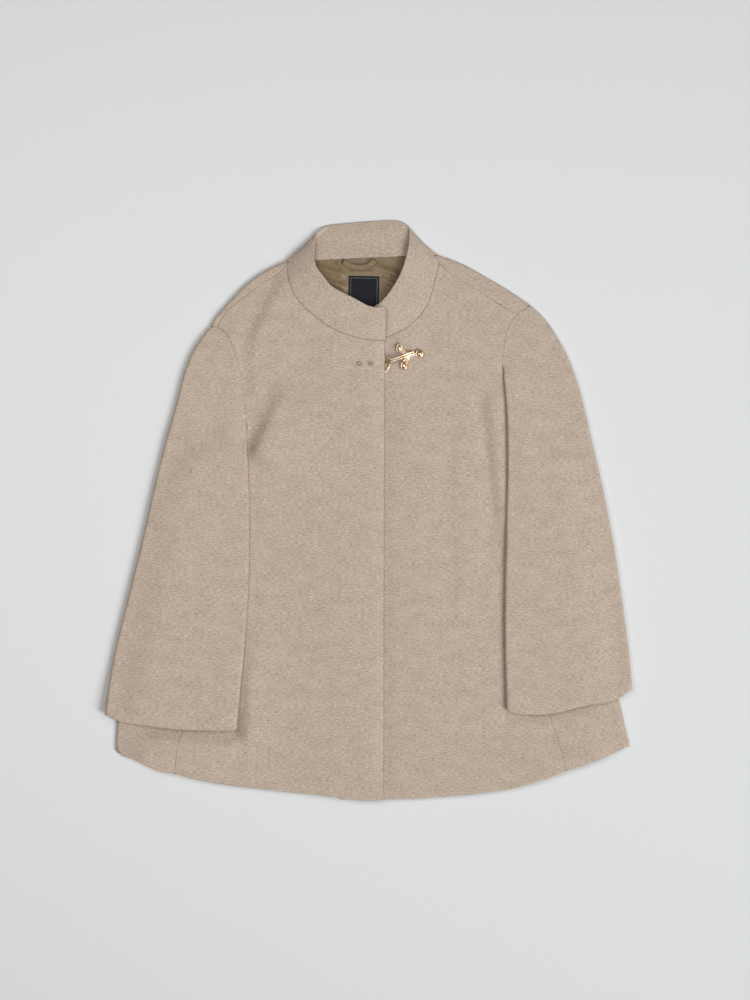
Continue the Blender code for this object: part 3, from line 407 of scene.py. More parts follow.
def plain_mesh(name, points, faces, weave, look):
    """An object from points of the plan lines, with its cloth's own directions as a UV map."""
    mesh = bpy.data.meshes.new(name)
    mesh.from_pydata(in_metres(points).tolist(), [], [list(map(int, face)) for face in faces])
    layer = mesh.uv_layers.new(name="cut")
    corner = np.zeros(len(mesh.loops), int)
    mesh.loops.foreach_get("vertex_index", corner)
    layer.data.foreach_set("uv", (np.array(weave, float) * MM)[corner].astype(np.float32).ravel())
    mesh.materials.append(look)
    mesh.shade_smooth()
    return put(name, mesh)


def nearest(x, y, line):
    """The point of a line nearest to a place."""
    a, b = line[:-1], line[1:]
    d = b - a
    t = np.clip(((np.array((x, y)) - a) * d).sum(axis=1) / (d * d).sum(axis=1), 0, 1)
    points = a + t[:, None] * d
    return tuple(points[np.argmin(np.hypot(points[:, 0] - x, points[:, 1] - y))])


def edge_rounding(points, rim, sign, turned_edges, soft_seam=None):
    """How far in the cloth is rounded: full at a turned edge such as a hem, pressed flat beside a seam."""
    found = np.full(len(points), SEAM_ROUNDING)
    for i, (x, y, *_) in enumerate(points):
        if rim[i] < EDGE_ROUNDING:
            place = (sign * x, y)
            if min(math.dist(nearest(*place, line), place) for line in turned_edges) < 2.5:
                found[i] = EDGE_ROUNDING
            if soft_seam is not None and math.dist(nearest(*place, soft_seam), place) < 1.0:
                found[i] = SOFT_SEAM_ROUNDING
    return found


def cloth(name, points, faces, rim, weave, look, thickness=WALL, rounding=EDGE_ROUNDING):
    """A closed thin cloth from its outer face, with edges rounded where rim is under rounding."""
    points, faces, rim = np.array(points, float), np.array(faces), np.array(rim, float)
    a, b, c = (points[faces[:, i]] for i in range(3))
    face_normals = np.cross(b - a, c - a)
    normals = np.zeros_like(points)
    for i in range(3):
        np.add.at(normals, faces[:, i], face_normals)
    normals /= np.maximum(np.linalg.norm(normals, axis=1), 1e-9)[:, None]
    wall = thickness * np.sqrt(1 - (1 - np.clip(rim / rounding, 0, 1)) ** 2)
    sink = (thickness - wall) / 2
    rounding = np.asarray(rounding)
    deepest = np.where(rounding < SEAM_ROUNDING, SOFT_SEAM_SINK, SEAM_SINK)
    sink = np.where(rounding > SEAM_ROUNDING, sink, np.minimum(sink, deepest))
    outer = points - normals * sink[:, None]
    within = rim > 1e-6
    inner = (outer - normals * wall[:, None])[within]
    under = np.arange(len(points))
    under[within] = len(points) + np.arange(within.sum())
    every = np.vstack([faces, under[faces][:, ::-1]])
    weave = np.array(weave, float)
    made = plain_mesh(name, np.vstack([outer, inner]), every, np.vstack([weave, weave[within]]), look)
    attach(made, "root")
    return made


def plug(tree, made, sockets):
    """Each socket gets a value, or the output of another node as (node, output)."""
    for key, value in dict(sockets).items():
        if isinstance(value, tuple) and isinstance(value[0], bpy.types.Node):
            tree.links.new(value[0].outputs[value[1]], made.inputs[key])
        else:
            made.inputs[key].default_value = value


def node(tree, kind, sockets=(), **settings):
    """Adds a node with its settings and links."""
    made = tree.nodes.new(kind)
    for key, value in settings.items():
        setattr(made, key, value)
    plug(tree, made, sockets)
    return made


def new_look(name):
    """A material, with its tree and its Principled BSDF."""
    look = bpy.data.materials.new(name)
    look.use_nodes = True
    return look, look.node_tree, look.node_tree.nodes["Principled BSDF"]


def linear(code):
    """An sRGB hex colour as linear red, green, blue and alpha."""
    parts = [int(code[i:i + 2], 16) / 255 for i in (1, 3, 5)]
    return (*[p / 12.92 if p <= 0.04045 else ((p + 0.055) / 1.055) ** 2.4 for p in parts], 1.0)


def tint(ramp, *stops):
    """Gives a colour ramp its stops of (place, colour)."""
    for place, colour in stops[1:-1]:
        ramp.color_ramp.elements.new(place).color = linear(colour)
    for end, (place, colour) in ((0, stops[0]), (-1, stops[-1])):
        ramp.color_ramp.elements[end].position = place
        ramp.color_ramp.elements[end].color = linear(colour)


def melange(name, dark, middle, light):
    """Milled wool melange. Flecks 5 mm by 1.3 mm lie along the weft, drawn coarse enough to show, over a
    speckle of single fibres and a slow mottle where the wool was blended."""
    look, tree, shader = new_look(name)
    weave = node(tree, "ShaderNodeUVMap", uv_map="cut")
    noises = []
    for long, wide, detail in ((5.0, 1.3, 2.0), (1.5, 1.2, 3.0), (26.0, 15.0, 2.0)):
        scaled = node(tree, "ShaderNodeMapping",
                      {"Vector": (weave, 0), "Scale": (1000 / long, 1000 / wide, 1.0)})
        noises.append(node(tree, "ShaderNodeTexNoise",
                           {"Vector": (scaled, 0), "Scale": 1.0, "Detail": detail, "Roughness": 0.65}))
    fleck, fibre, mottle = noises
    both = node(tree, "ShaderNodeMath", {0: (fleck, 0), 1: (fibre, 0)}, operation="ADD")
    blend = node(tree, "ShaderNodeMath", {0: (mottle, 0), 1: 0.3, 2: (both, 0)}, operation="MULTIPLY_ADD")
    spread_out = node(tree, "ShaderNodeMapRange", {0: (blend, 0), 1: 0.80, 2: 1.50, 3: 0.0, 4: 1.0})
    ramp = node(tree, "ShaderNodeValToRGB", {0: (spread_out, 0)})
    tint(ramp, (0.0, dark), (0.5, middle), (1.0, light))
    bump = node(tree, "ShaderNodeBump", {"Height": (both, 0), "Strength": 0.35, "Distance": 0.0005})
    plug(tree, shader, {"Base Color": (ramp, 0), "Normal": (bump, 0), "Roughness": 0.95,
                        "Specular IOR Level": 0.2, "Sheen Weight": 0.12, "Sheen Roughness": 0.6})
    return look


wool = melange("wool_melange_coating", "#968679", "#baa897", "#d7c9bb")
back_wrap = Wrap(lambda up: -RIGHT["fold_at"](up), LEFT["fold_at"], lambda x, y: 0.0,
                 front_top, front_top, BACK_WIDTH)


def back_outline():
    """The cut of the back, from the hem round the left side, over the neck and down the right side."""
    wrap, half = back_wrap, SEAM_GAP / 2
    under = [*mirrored_line(RIGHT["hem"][::-1], RIGHT)[1:], *mirrored_line(LEFT["hem"], LEFT)[1:-1]]
    right_limit, left_limit = (side["hem"][-1][0] - corner
                               for side, corner in zip((RIGHT, LEFT), HEM_CORNERS))
    outline = [wrap.on_face(x, y + HEM_EASE) for x, y in under if -right_limit < x < left_limit]
    for side, past in ((LEFT, wrap.past_high), (RIGHT, wrap.past_low)):
        sign, seam, seam_end = side["sign"], side["side_seam"], side["side_seam"][-1][0] + half
        hem = [(out, up) for out, up in side["hem"][::-1] if out > seam_end]
        turn_up = side["armhole_back"][-1][1] - UNDER_ARM
        under_arm = [(seam[0][0] + 9.0, turn_up - 1.5), (side["fold_at"](turn_up) - 4.0, turn_up)]
        part = [past(x, y) for x, y in mirrored_line(hem, side)]
        part += [past(x, y) for x, y in mirrored_line(beside(seam[::-1], -half), side)]
        part += [past(x, y) for x, y in mirrored_line(under_arm, side)]
        part.append(wrap.on_face(sign * under_arm[1][0], turn_up))
        armhole = beside(side["armhole_back"][::-1], half)[:-1]
        part += [wrap.on_face(x, y) for x, y in mirrored_line(armhole, side)]
        tip_up = side["armhole_back"][0][1] + half
        part += [wrap.on_face(sign * BACK_WIDTH, tip_up), past(sign * BACK_WIDTH, tip_up)]
        part += [past(x, y) for x, y in mirrored_line(beside(side["armhole_top"], -half)[1:-1], side)]
        out, up = side["armhole_top"][-1]
        part.append(past(sign * out, up + SEAM_GAP))
        part += [past(x, y) for x, y in mirrored_line(beside(side["shoulder_seam"][::-1], -half)[1:], side)]
        neck_up = side["shoulder_fold"][0][1]
        part += [past(sign * BACK_WIDTH, neck_up), wrap.on_face(sign * BACK_WIDTH, neck_up)]
        outline.extend(part if side is LEFT else part[::-1])
    return outline


round_fold = [FOLD_ARC * i / 9 for i in range(10)]
flap = round_fold + spread(FOLD_ARC, FOLD_ARC + BACK_FLAP, 3.2)[1:]
columns = [-step for step in flap[::-1]] + spread(0, BACK_WIDTH, 10.0)[1:-1]
columns += [BACK_WIDTH + step for step in flap]
places, faces, rim = cut_out(back_outline(), columns, spread(-371.0, 328.0, 3.2))
found = [back_wrap.place(across, up) for across, up in places]
hems = [LEFT["hem"], RIGHT["hem"] * (-1, 1)]
back = cloth("back_panel", [p[:3] for p in found], [face[::-1] for face in faces], rim,
             [(p[3], p[1]) for p in found], wool, rounding=edge_rounding(found, rim, 1, hems))
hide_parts("back")

# Fronts. Two panels of the same coating, closed at the middle: the wearer's right one lies over the left one
# and hides the fastening. They are sewn to the back at the forward side and shoulder seams.

LEFT_EDGE = [(-35.0, 219.6), (-36.0, -75.0), (-36.8, -368.2)]
LAP_RISE = WALL + 2.1  # the right front climbs this much to lie on the left one
LAP_START = 150.0  # how far from its edge it begins to climb
LAP_RUN = 115.0


def over_top(x, y):
    """Height of the top of the right front, which climbs onto the left front at the centre."""
    return front_top(x, y) + LAP_RISE * ease((x - right_edge_at(y) + LAP_START) / LAP_RUN)


def front_panel(name, node_name, side, top, edge):
    """A front cut along its closing edge, hem, side seam, armhole, shoulder seam and neck, lying at top."""
    line = [tuple(p) for p in edge]
    line += [tuple(p) for p in side["hem"] if edge[-1][0] < p[0] < side["side_seam"][-1][0] - 1.0]
    line += [tuple(p) for p in side["side_seam"][::-1]]
    line += [tuple(p) for p in side["armhole"][::-1][1:]]
    line += [tuple(p) for p in side["shoulder_seam"][::-1][1:]]
    line += [tuple(p) for p in side["neck"][1:] if p[0] > edge[0][0] + 1.0]
    outline = [(side["sign"] * x, y) for x, y in inset(line, SEAM_GAP / 2)]
    places, faces, rim = cut_out(outline, spread(-260.0, 260.0, 3.1), spread(HEM_LINE, 318.0, 3.1))
    rounding = edge_rounding(places, rim, side["sign"], [edge, side["hem"]], side.get("soft_seam"))
    made = cloth(name, [(x, y, top(x, y)) for x, y in places], faces, rim, places, wool, rounding=rounding)
    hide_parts(node_name)


front_panel("front_panel_left", "front_left", LEFT, front_top, smooth(LEFT_EDGE))
front_panel("front_panel_right", "front_right", RIGHT, over_top,
            smooth([(-x, y) for x, y in RIGHT_EDGE]))

# Sleeves. Wide bell sleeves cut in one piece, set into the armholes and closed by an underarm seam. They lie
# flat on the fronts with a soft fold at each side, and droop to the surface beyond the body.

SLEEVE_WIDTH = 150.0
SLEEVE_FLAP = 98.0  # how far the under layer's columns of points reach past a fold
TURN_GAP = 1.2  # where a seam goes round a fold
LIE_GAP = 0.6  # between the sleeve and the front


def sleeve(name, node_name, side, lean):
    """A sleeve wrapped round its two folds. Lean turns the weft, in radians."""
    sign, width = side["sign"], SLEEVE_WIDTH
    seam_out, under_up = side["underarm"]
    heights = np.array(side["sleeve_height"])[::-1]
    drops = np.array(side["sleeve_drop"])[::-1]
    outer_at, fold_at = side["outer_at"], side["fold_at"]

    def lying(out, up):
        """Under face of the lower layer: on the front, then down beyond the body's side."""
        fold = fold_at(up)
        down = ease((out - fold) / max(14.0, outer_at(up) - fold))
        return (front_top(sign * out, up) + LIE_GAP) * (1 - down)

    def lying_back(out, up):
        """The same beyond the armhole, where the sleeve lies on the surface beside the back."""
        return lying(out, up) * (1 - ease((up - under_up) / 42.0))

    def upper(out, up):
        inner_height, outer_height = (np.interp(up, heights[:, 0], heights[:, i]) for i in (1, 2))
        start, run = (np.interp(up, drops[:, 0], drops[:, i]) for i in (1, 2))
        height = mix(inner_height, outer_height, ease((out - start) / run))
        height += 0.7 * slack(sign * out, up, 7.0) * ease((out - side["inner_at"](up)) / 30.0)
        if up < side["fold_start"] - 40.0:
            return height
        distance = math.dist(nearest(out, up, side["seam_high"]), (out, up))
        return mix(front_top(sign * out, up), height, ease(distance / 25.0))

    wrap = Wrap(side["inner_at"], outer_at, upper, lying, lying_back, width, side["fold_start"])
    half = SEAM_GAP / 2
    hem = side["sleeve_hem"]

    def hem_at(out):
        return float(np.interp(out, hem[:, 0], hem[:, 1]))

    outline = [wrap.on_face(out, up) for out, up in hem]
    outline.append((width + FOLD_ARC, hem[-1][1] + 2.0))
    outline += [wrap.past_high(out, hem_at(out) + 1.0) for out in spread(seam_out + half, 322.0, 14.0)[::-1]]
    seam_low = hem_at(seam_out) + 1.0
    outline += [wrap.past_high(seam_out + half, up) for up in spread(seam_low, under_up - 3.0, 24.0)[1:]]
    back_line = [(out, up) for out, up in beside(side["armhole_back"], half)[::-1] if up > under_up + 24.0]
    outline.append(wrap.past_high(seam_out, under_up + 9.0))
    outline += [wrap.past_high(out, up) for out, up in back_line[:-1]]
    top_up = side["armhole_back"][0][1] - TURN_GAP
    outline += [(width + FOLD_ARC, top_up), (width, top_up)]
    outline += [wrap.on_face(out, up) for out, up in beside(side["armhole_top"], half)[1:]]
    seen = side["armhole"][side["armhole"][:, 1] > side["fold_start"] + 1.0]
    outline += [wrap.on_face(out, up) for out, up in beside(seen, half)[1:]]
    start = side["fold_start"]
    outline += [(0.0, start), (-0.5 * FOLD_ARC, start - FOLD_OPENING / 2), (-FOLD_ARC, start - FOLD_OPENING)]
    outline += [wrap.past_low(out, up) for out, up in side["armhole"] if up < start - FOLD_OPENING]
    outline.append(wrap.past_low(seam_out - half, under_up))
    outline += [wrap.past_low(seam_out - half, up) for up in spread(seam_low, under_up, 24.0)[::-1][1:]]
    hidden_hem = spread(hem[0][0] + 4.0, seam_out - half, 14.0)[::-1][1:]
    outline += [wrap.past_low(out, hem_at(out) + 4.0) for out in hidden_hem]
    columns = [-step for step in round_fold[1:]] + [width + step for step in round_fold[1:]]
    columns += spread(0, width, 3.1)
    columns += [-FOLD_ARC - step for step in spread(0.0, SLEEVE_FLAP, 8.0)[1:]]
    columns += [width + FOLD_ARC + step for step in spread(0.0, SLEEVE_FLAP, 5.0)[1:]]
    places, faces, rim = cut_out(outline, columns, spread(-283.0, 266.0, 3.1))
    if sign < 0:
        faces = [face[::-1] for face in faces]
    found = [wrap.place(across, up) for across, up in places]
    turn, rise = math.cos(lean), math.sin(lean)
    weave = [(sign * u * turn + v * rise, v * turn - sign * u * rise) for _, v, _, u in found]
    made = cloth(name, [(sign * x, y, z) for x, y, z, _ in found], faces, rim, weave, wool,
                 rounding=edge_rounding(found, rim, 1, [hem], side.get("soft_seam")))
    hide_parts(node_name)


sleeve("sleeve_right_wool", "sleeve_right", RIGHT, math.radians(-7.0))
sleeve("sleeve_left_wool", "sleeve_left", LEFT, math.radians(7.4))

# Collar. A stand collar band faced with its own cloth, sewn to the neck seam. At the back it lies flat and
# shows its inner face, it turns at both sides, and at the front it stands with its right end over its left.

# seam x, seam y, edge x, edge y, edge height
COLLAR_RIGHT = [
    (22.8, 219.0, 22.8, 255.0, 20.0),
    (20.0, 219.0, 20.6, 259.8, 20.3),
    (8.0, 219.4, 10.9, 260.5, 20.6),
    (-8.8, 221.3, -0.6, 263.0, 20.4),
    (-33.3, 228.9, -17.5, 272.0, 21.0),
    (-58.2, 241.8, -37.0, 281.5, 21.5),
    (-72.3, 253.3, -48.0, 288.5, 21.5),
    (-86.2, 266.1, -59.0, 302.2, 21.0),
    (-95.6, 281.5, -65.6, 311.0, 20.0),
    (-101.2, 295.0, -68.8, 319.0, 18.4),
    (-103.2, 308.0, -69.9, 327.0, 16.2),
    (-103.0, 316.6, -69.8, 333.0, 14.6),
]
COLLAR_RIGHT_TURN = [(-69.3, 338.0, 13.0), (-68.6, 346.0, 10.2), (-67.0, 353.0, 7.5), (-64.3, 360.0, 4.6),
                     (-60.5, 364.3, 2.2)]
# seam x, seam y, seam height, edge x, edge y, edge height
COLLAR_BACK = [
    (-96.0, 320.8, 0.0, -54.0, 366.5, 0.4),
    (-78.0, 321.4, 2.2, -45.0, 367.8, 0.0),
    (-45.0, 322.8, 5.6, -26.0, 369.7, 0.0),
    (0.0, 324.8, 6.2, 2.0, 371.8, 0.0),
    (40.0, 326.5, 5.4, 26.0, 373.2, 0.0),
    (66.0, 327.6, 2.2, 39.0, 372.6, 0.2),
    (80.0, 328.2, 0.0, 46.0, 370.4, 1.2),
]
COLLAR_LEFT_TURN = [(51.0, 366.5, 3.5), (52.3, 361.0, 6.0), (52.6, 354.5, 8.8), (52.2, 348.0, 11.4),
                    (51.3, 341.0, 13.6)]
COLLAR_LEFT = [
    (90.6, 316.6, 50.2, 335.5, 14.4),
    (87.2, 308.3, 48.5, 328.0, 15.4),
    (82.1, 285.3, 43.5, 311.0, 16.4),
    (74.4, 264.7, 37.0, 297.0, 17.0),
    (59.1, 244.3, 27.5, 281.5, 17.0),
    (41.4, 231.6, 19.5, 272.0, 15.4),
    (23.6, 224.6, 12.0, 265.0, 13.0),
    (5.0, 221.1, 3.0, 260.5, 13.6),
    (-14.0, 220.4, -8.0, 258.5, 13.0),
]
NECK_LINE = (320.6, 329.1)  # the back neck seam at the right and at the left fold
COLLAR_WIDTH = 44.0
COLLAR_CROWN = 1.1  # how far the standing band bows out between its seam and its edge
COLLAR_STANDS = (4.0, 9.0)  # edge height at which the band starts to stand, and how much more until it does


def beside_seam(rows, side, top):
    """Rows of the collar with their seam set beside the neck seam of that side."""
    made = []
    for x, y, *edge in rows:
        x, y = nearest(side["sign"] * x, y, side["neck"])
        x *= side["sign"]
        away = math.hypot(edge[0] - x, edge[1] - y)
        x, y = (mix(a, b, 1.5 * SEAM_GAP / away) for a, b in ((x, edge[0]), (y, edge[1])))
        made.append((x, y, top(x, y), *edge))
    return made


def collar_turn(side, edges, up, rising):
    """Rows round the fold at a side of the neck, a turning gap inside the back's own fold."""
    sign, height = side["sign"], FOLD_HEIGHT / 2
    low, high = back_wrap.flats(side["shoulder_fold"][0][1])
    tip = side["shoulder_fold"][0][0]
    reach = tip - (high if sign > 0 else -low)
    tip -= TURN_GAP
    made = []
    for i, (ex, ey, ez) in enumerate(edges):
        angle = math.pi * i / (len(edges) - 1)
        angle = math.pi - angle if rising else angle
        x = sign * (tip - reach + reach * math.sin(angle))
        made.append((x, up, height * (1 + math.cos(angle)), ex, ey, ez))
    return made


def walked(line):
    """How far along a line each of its points lies."""
    return np.concatenate([[0.0], np.cumsum(np.linalg.norm(np.diff(line, axis=0), axis=1))])


def edged(length, step, clear=EDGE_CLEAR):
    """Places along a length, closer together at both ends, where the cloth is rounded."""
    near = [0.0, *EDGE_ROWS]
    return near + spread(EDGE_CLEAR, length - clear, step) + [length - distance for distance in near[::-1]]


def quilt(rows, count):
    """Triangles between so many rows of points, with count points in each."""
    faces = []
    for i in range(rows - 1):
        for a in range(i * count, (i + 1) * count - 1):
            faces += [(a, a + 1, a + count + 1), (a, a + count + 1, a + count)]
    return faces


rows = beside_seam(smooth(COLLAR_RIGHT, pieces=2), RIGHT, over_top)
rows += collar_turn(RIGHT, smooth(COLLAR_RIGHT_TURN, pieces=2), NECK_LINE[0], False)
rows += COLLAR_BACK
rows += collar_turn(LEFT, smooth(COLLAR_LEFT_TURN, pieces=2), NECK_LINE[1], True)
rows += beside_seam(smooth(COLLAR_LEFT, pieces=2), LEFT, front_top)
rows = smooth(rows, step=2.4)
middle_line = (rows[:, :3] + rows[:, 3:]) / 2
along = walked(middle_line)
band = edged(COLLAR_WIDTH, 2.3, 4.0)
along_band = edged(along[-1], 2.4)


def at_length(s, table):
    """A row of a table whose rows lie along the collar, read at a length along it."""
    return np.array([np.interp(s, along, column) for column in table.T])


points, weave, rim, rounding = [], [], [], []
for s in along_band:
    row = at_length(s, rows)
    seam, edge = row[:3], row[3:]
    out = np.cross(edge - seam, at_length(s + 2.0, middle_line) - at_length(s - 2.0, middle_line))
    out /= np.linalg.norm(out)
    standing = ease((edge[2] - COLLAR_STANDS[0]) / COLLAR_STANDS[1])
    for v in band:
        t = v / COLLAR_WIDTH
        crown = COLLAR_CROWN * standing * 4 * t * (1 - t) + 0.35 * standing * slack(s * 3, v * 3, 3.0)
        points.append(mix(seam, edge, t) + out * crown)
        weave.append((s, v))
        rim.append(min(v, COLLAR_WIDTH - v, s, along[-1] - s))
        rounding.append(SEAM_ROUNDING if v < 2.5 else EDGE_ROUNDING)
collar = cloth("stand_collar", points, quilt(len(along_band), len(band)), rim, weave, wool,
               rounding=np.array(rounding))
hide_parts("collar")

# Neck lining. Khaki satin, cut loose so that it doesn't pull the coat, and so it lies in soft wrinkles where
# it shows inside the neck. Satin has long floats of fine thread: smooth, with a broad sheen along the folds.

LINING_HEIGHT = 3.7
LINING_THICKNESS = 1.0
LINING = [(-72.0, 321.6), (-45.0, 324.2), (0.0, 326.2), (38.0, 327.8), (58.0, 325.0), (69.0, 308.0),
          (72.0, 288.0), (60.0, 256.0), (30.0, 239.0), (-18.0, 237.0), (-60.0, 257.0), (-82.0, 288.0),
          (-82.0, 309.0)]
# as FRONT_FOLDS
LINING_FOLDS = [
    ((-68.0, 313.0), (-34.0, 303.0), 5.5, 4.0, 2.0, 3.4),
    ((-60.0, 299.0), (-32.0, 287.0), 5.0, 4.0, 2.0, 3.4),
    ((-50.0, 285.0), (-30.0, 274.0), 4.5, 3.5, 1.4, 2.4),
    ((-42.0, 318.0), (-34.0, 304.0), 3.6, 3.0, 1.8, 1.0),
    ((5.0, 315.0), (36.0, 303.0), 5.0, 3.8, 1.6, 3.4),
    ((16.0, 299.0), (38.0, 287.0), 5.0, 4.0, 2.0, 3.0),
    ((-26.0, 306.0), (14.0, 307.0), 2.8, 2.8, 1.2, 1.2),
]


def satin_weave(name, colour, shade):
    """Satin: fine floats give a smooth broad sheen. The thread is 0.25 mm, drawn at 0.8 mm to show."""
    look, tree, shader = new_look(name)
    weave = node(tree, "ShaderNodeUVMap", uv_map="cut")
    threads = node(tree, "ShaderNodeMapping", {"Vector": (weave, 0), "Scale": (1000 / 0.8, 1000 / 9.0, 1.0)})
    grain = node(tree, "ShaderNodeTexNoise", {"Vector": (threads, 0), "Scale": 1.0, "Detail": 2.0})
    ramp = node(tree, "ShaderNodeValToRGB", {0: (grain, 0)})
    tint(ramp, (0.25, shade), (0.75, colour))
    bump = node(tree, "ShaderNodeBump", {"Height": (grain, 0), "Strength": 0.2, "Distance": 0.0002})
    plug(tree, shader, {"Base Color": (ramp, 0), "Normal": (bump, 0), "Roughness": 0.46,
                        "Specular IOR Level": 0.5, "Anisotropic": 0.3})
    return look


def lining_top(x, y):
    return LINING_HEIGHT + fold_relief(x, y, LINING_FOLDS)


satin = satin_weave("lining_satin_khaki", "#8d7759", "#6b583e")
outline = smooth([*LINING, LINING[0]], step=4.0)[:-1]
places, faces, rim = cut_out([tuple(p) for p in outline], spread(-85.0, 75.0, 1.6), spread(236.0, 327.0, 1.6))
lining = cloth("neck_lining_satin", [(x, y, lining_top(x, y)) for x, y in places], faces, rim, places, satin,
               LINING_THICKNESS, 0.8)
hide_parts("neck_lining")

# Hanger loop. A strip of the same satin folded to 7 mm and stitched along both edges, caught in the neck seam
# at both ends and standing a little off the lining.

LOOP_PATH = [(-33.0, 320.2), (-29.4, 318.4), (-24.2, 315.6), (-18.6, 313.4), (-11.0, 312.6), (-3.4, 313.2),
             (1.8, 315.6), (5.6, 318.8), (8.0, 322.4)]
LOOP_HALF = 3.4
LOOP_THICKNESS = 1.0
LOOP_LIFT = 3.0  # its outer face above the lining at its ends
LOOP_BOW = 1.6  # and this much more at its middle
TOPSTITCH = 2.4  # from the middle line to each row of stitching, which draws the satin in


def loop_top(x, y):
    lifted = 1.0 - ((x + 11.5) / 24.0) ** 2
    return LINING_HEIGHT + LOOP_LIFT + LOOP_BOW * max(0.0, lifted)


path = smooth(LOOP_PATH, step=1.6)
along = walked(path)
across_loop = [0.0, 0.3, 0.8, 1.6, 2.6, 3.4, 4.2, 5.2, 6.0, 6.5, 6.8]
points, weave, rim = [], [], []
for d in across_loop:
    drawn_in = 0.15 * math.exp(-((abs(d - LOOP_HALF) - TOPSTITCH) / 0.4) ** 2)
    for (x, y), s in zip(beside(path, LOOP_HALF - d), along):
        points.append((x, y, loop_top(x, y) - drawn_in))
        weave.append((d, s))
        rim.append(min(d, 2 * LOOP_HALF - d, s, along[-1] - s))
faces = [face[::-1] for face in quilt(len(across_loop), len(path))]
hanger = cloth("hanger_loop_satin", points, faces, rim, weave, satin, LOOP_THICKNESS, 0.5)
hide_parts("hanger_loop")

# Label. A damask label woven from fine dark thread, here plain inside its woven border, sewn flat on the
# lining under the loop.

LABEL_SIZE = (39.0, 45.0)
LABEL_ROUND = 1.0  # radius of its corners
LABEL_CORNER = (-25.0, 302.1)
LABEL_TURN = math.radians(-1.5)
LABEL_TOP = 4.9
LABEL_THICKNESS = 0.8


def damask(name, ground, thread):
    """Woven damask: fine ribs of 0.4 mm, drawn at 0.9 mm, with a matt even ground."""
    look, tree, shader = new_look(name)
    weave = node(tree, "ShaderNodeUVMap", uv_map="cut")
    slanted = node(tree, "ShaderNodeMapping", {"Vector": (weave, 0), "Rotation": (0, 0, math.radians(32)),
                                               "Scale": (1000 / 0.9, 1000 / 0.9, 1.0)})
    ribs = node(tree, "ShaderNodeTexWave",
                {"Vector": (slanted, 0), "Scale": 0.32, "Distortion": 0.6, "Detail": 1.0})
    ramp = node(tree, "ShaderNodeValToRGB", {0: (ribs, 1)})
    tint(ramp, (0.0, ground), (1.0, thread))
    bump = node(tree, "ShaderNodeBump", {"Height": (ribs, 1), "Strength": 0.3, "Distance": 0.0001})
    plug(tree, shader, {"Base Color": (ramp, 0), "Normal": (bump, 0), "Roughness": 0.75,
                        "Specular IOR Level": 0.25})
    return look


navy = damask("label_damask_navy", "#101218", "#1e2028")
right = np.array((math.cos(LABEL_TURN), math.sin(LABEL_TURN)))
below = np.array((right[1], -right[0]))


def on_label(u, v):
    """A place on the label, from its top left corner, in plan."""
    return tuple(np.array(LABEL_CORNER) + u * right + v * below)


def label_top(u, v):
    """The label lies on the lining and lifts a little at its lower edge."""
    return LABEL_TOP + 0.5 * ease((v - 30.0) / 15.0) + 0.12 * math.sin(u / 5.0) * math.sin(v / 7.0)


def corners(inset_by):
    """The label's corners moved inwards, anticlockwise in its own directions from the far one."""
    near, far_u, far_v = inset_by, LABEL_SIZE[0] - inset_by, LABEL_SIZE[1] - inset_by
    return [(far_u, far_v), (near, far_v), (near, near), (far_u, near)]


label_line = []
for i, (u, v) in enumerate(corners(LABEL_ROUND)):
    for a in np.linspace(0, math.pi / 2, 4) + i * math.pi / 2:
        label_line.append((u + LABEL_ROUND * math.cos(a), v + LABEL_ROUND * math.sin(a)))
columns, rows = (spread(0.0, size, 1.5) for size in LABEL_SIZE)
places, faces, rim = cut_out(label_line, columns, rows, 1.5)
points = [(*on_label(u, v), label_top(u, v)) for u, v in places]
label = cloth("neck_label_woven", points, [face[::-1] for face in faces], rim, places, navy,
              LABEL_THICKNESS, 0.5)
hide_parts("label")

# Stitching. Thread drawn along lines: the label's woven border and the loop's two rows of topstitching.

BORDER_INSET = 2.6


def stitch_tree():
    """Geometry nodes that set a stitch at even steps along a line. Sizes are in metres."""
    tree = bpy.data.node_groups.new("stitches_along_line", "GeometryNodeTree")
    tree.interface.new_socket("Line", in_out="INPUT", socket_type="NodeSocketGeometry")
    for label_text in ("Stitch Spacing", "Stitch Length", "Thread Thickness"):
        tree.interface.new_socket(label_text, in_out="INPUT", socket_type="NodeSocketFloat")
    tree.interface.new_socket("Thread", in_out="INPUT", socket_type="NodeSocketMaterial")
    tree.interface.new_socket("Stitches", in_out="OUTPUT", socket_type="NodeSocketGeometry")
    start = node(tree, "NodeGroupInput")
    curve = node(tree, "GeometryNodeMeshToCurve", {"Mesh": (start, "Line")})
    steps = node(tree, "GeometryNodeCurveToPoints",
                 {"Curve": (curve, 0), "Length": (start, "Stitch Spacing")}, mode="LENGTH")
    ball = node(tree, "GeometryNodeMeshUVSphere", {"Segments": 6, "Rings": 5, "Radius": 0.5})
    size = node(tree, "ShaderNodeCombineXYZ", {0: (start, "Thread Thickness"), 1: (start, "Thread Thickness"),
                                               2: (start, "Stitch Length")})
    placed = node(tree, "GeometryNodeInstanceOnPoints", {"Points": (steps, "Points"), "Instance": (ball, 0),
                                                         "Rotation": (steps, "Rotation"), "Scale": (size, 0)})
    real = node(tree, "GeometryNodeRealizeInstances", {0: (placed, 0)})
    dressed = node(tree, "GeometryNodeSetMaterial", {"Geometry": (real, 0), "Material": (start, "Thread")})
    node(tree, "NodeGroupOutput", {0: (dressed, 0)})
    return tree


stitches = stitch_tree()


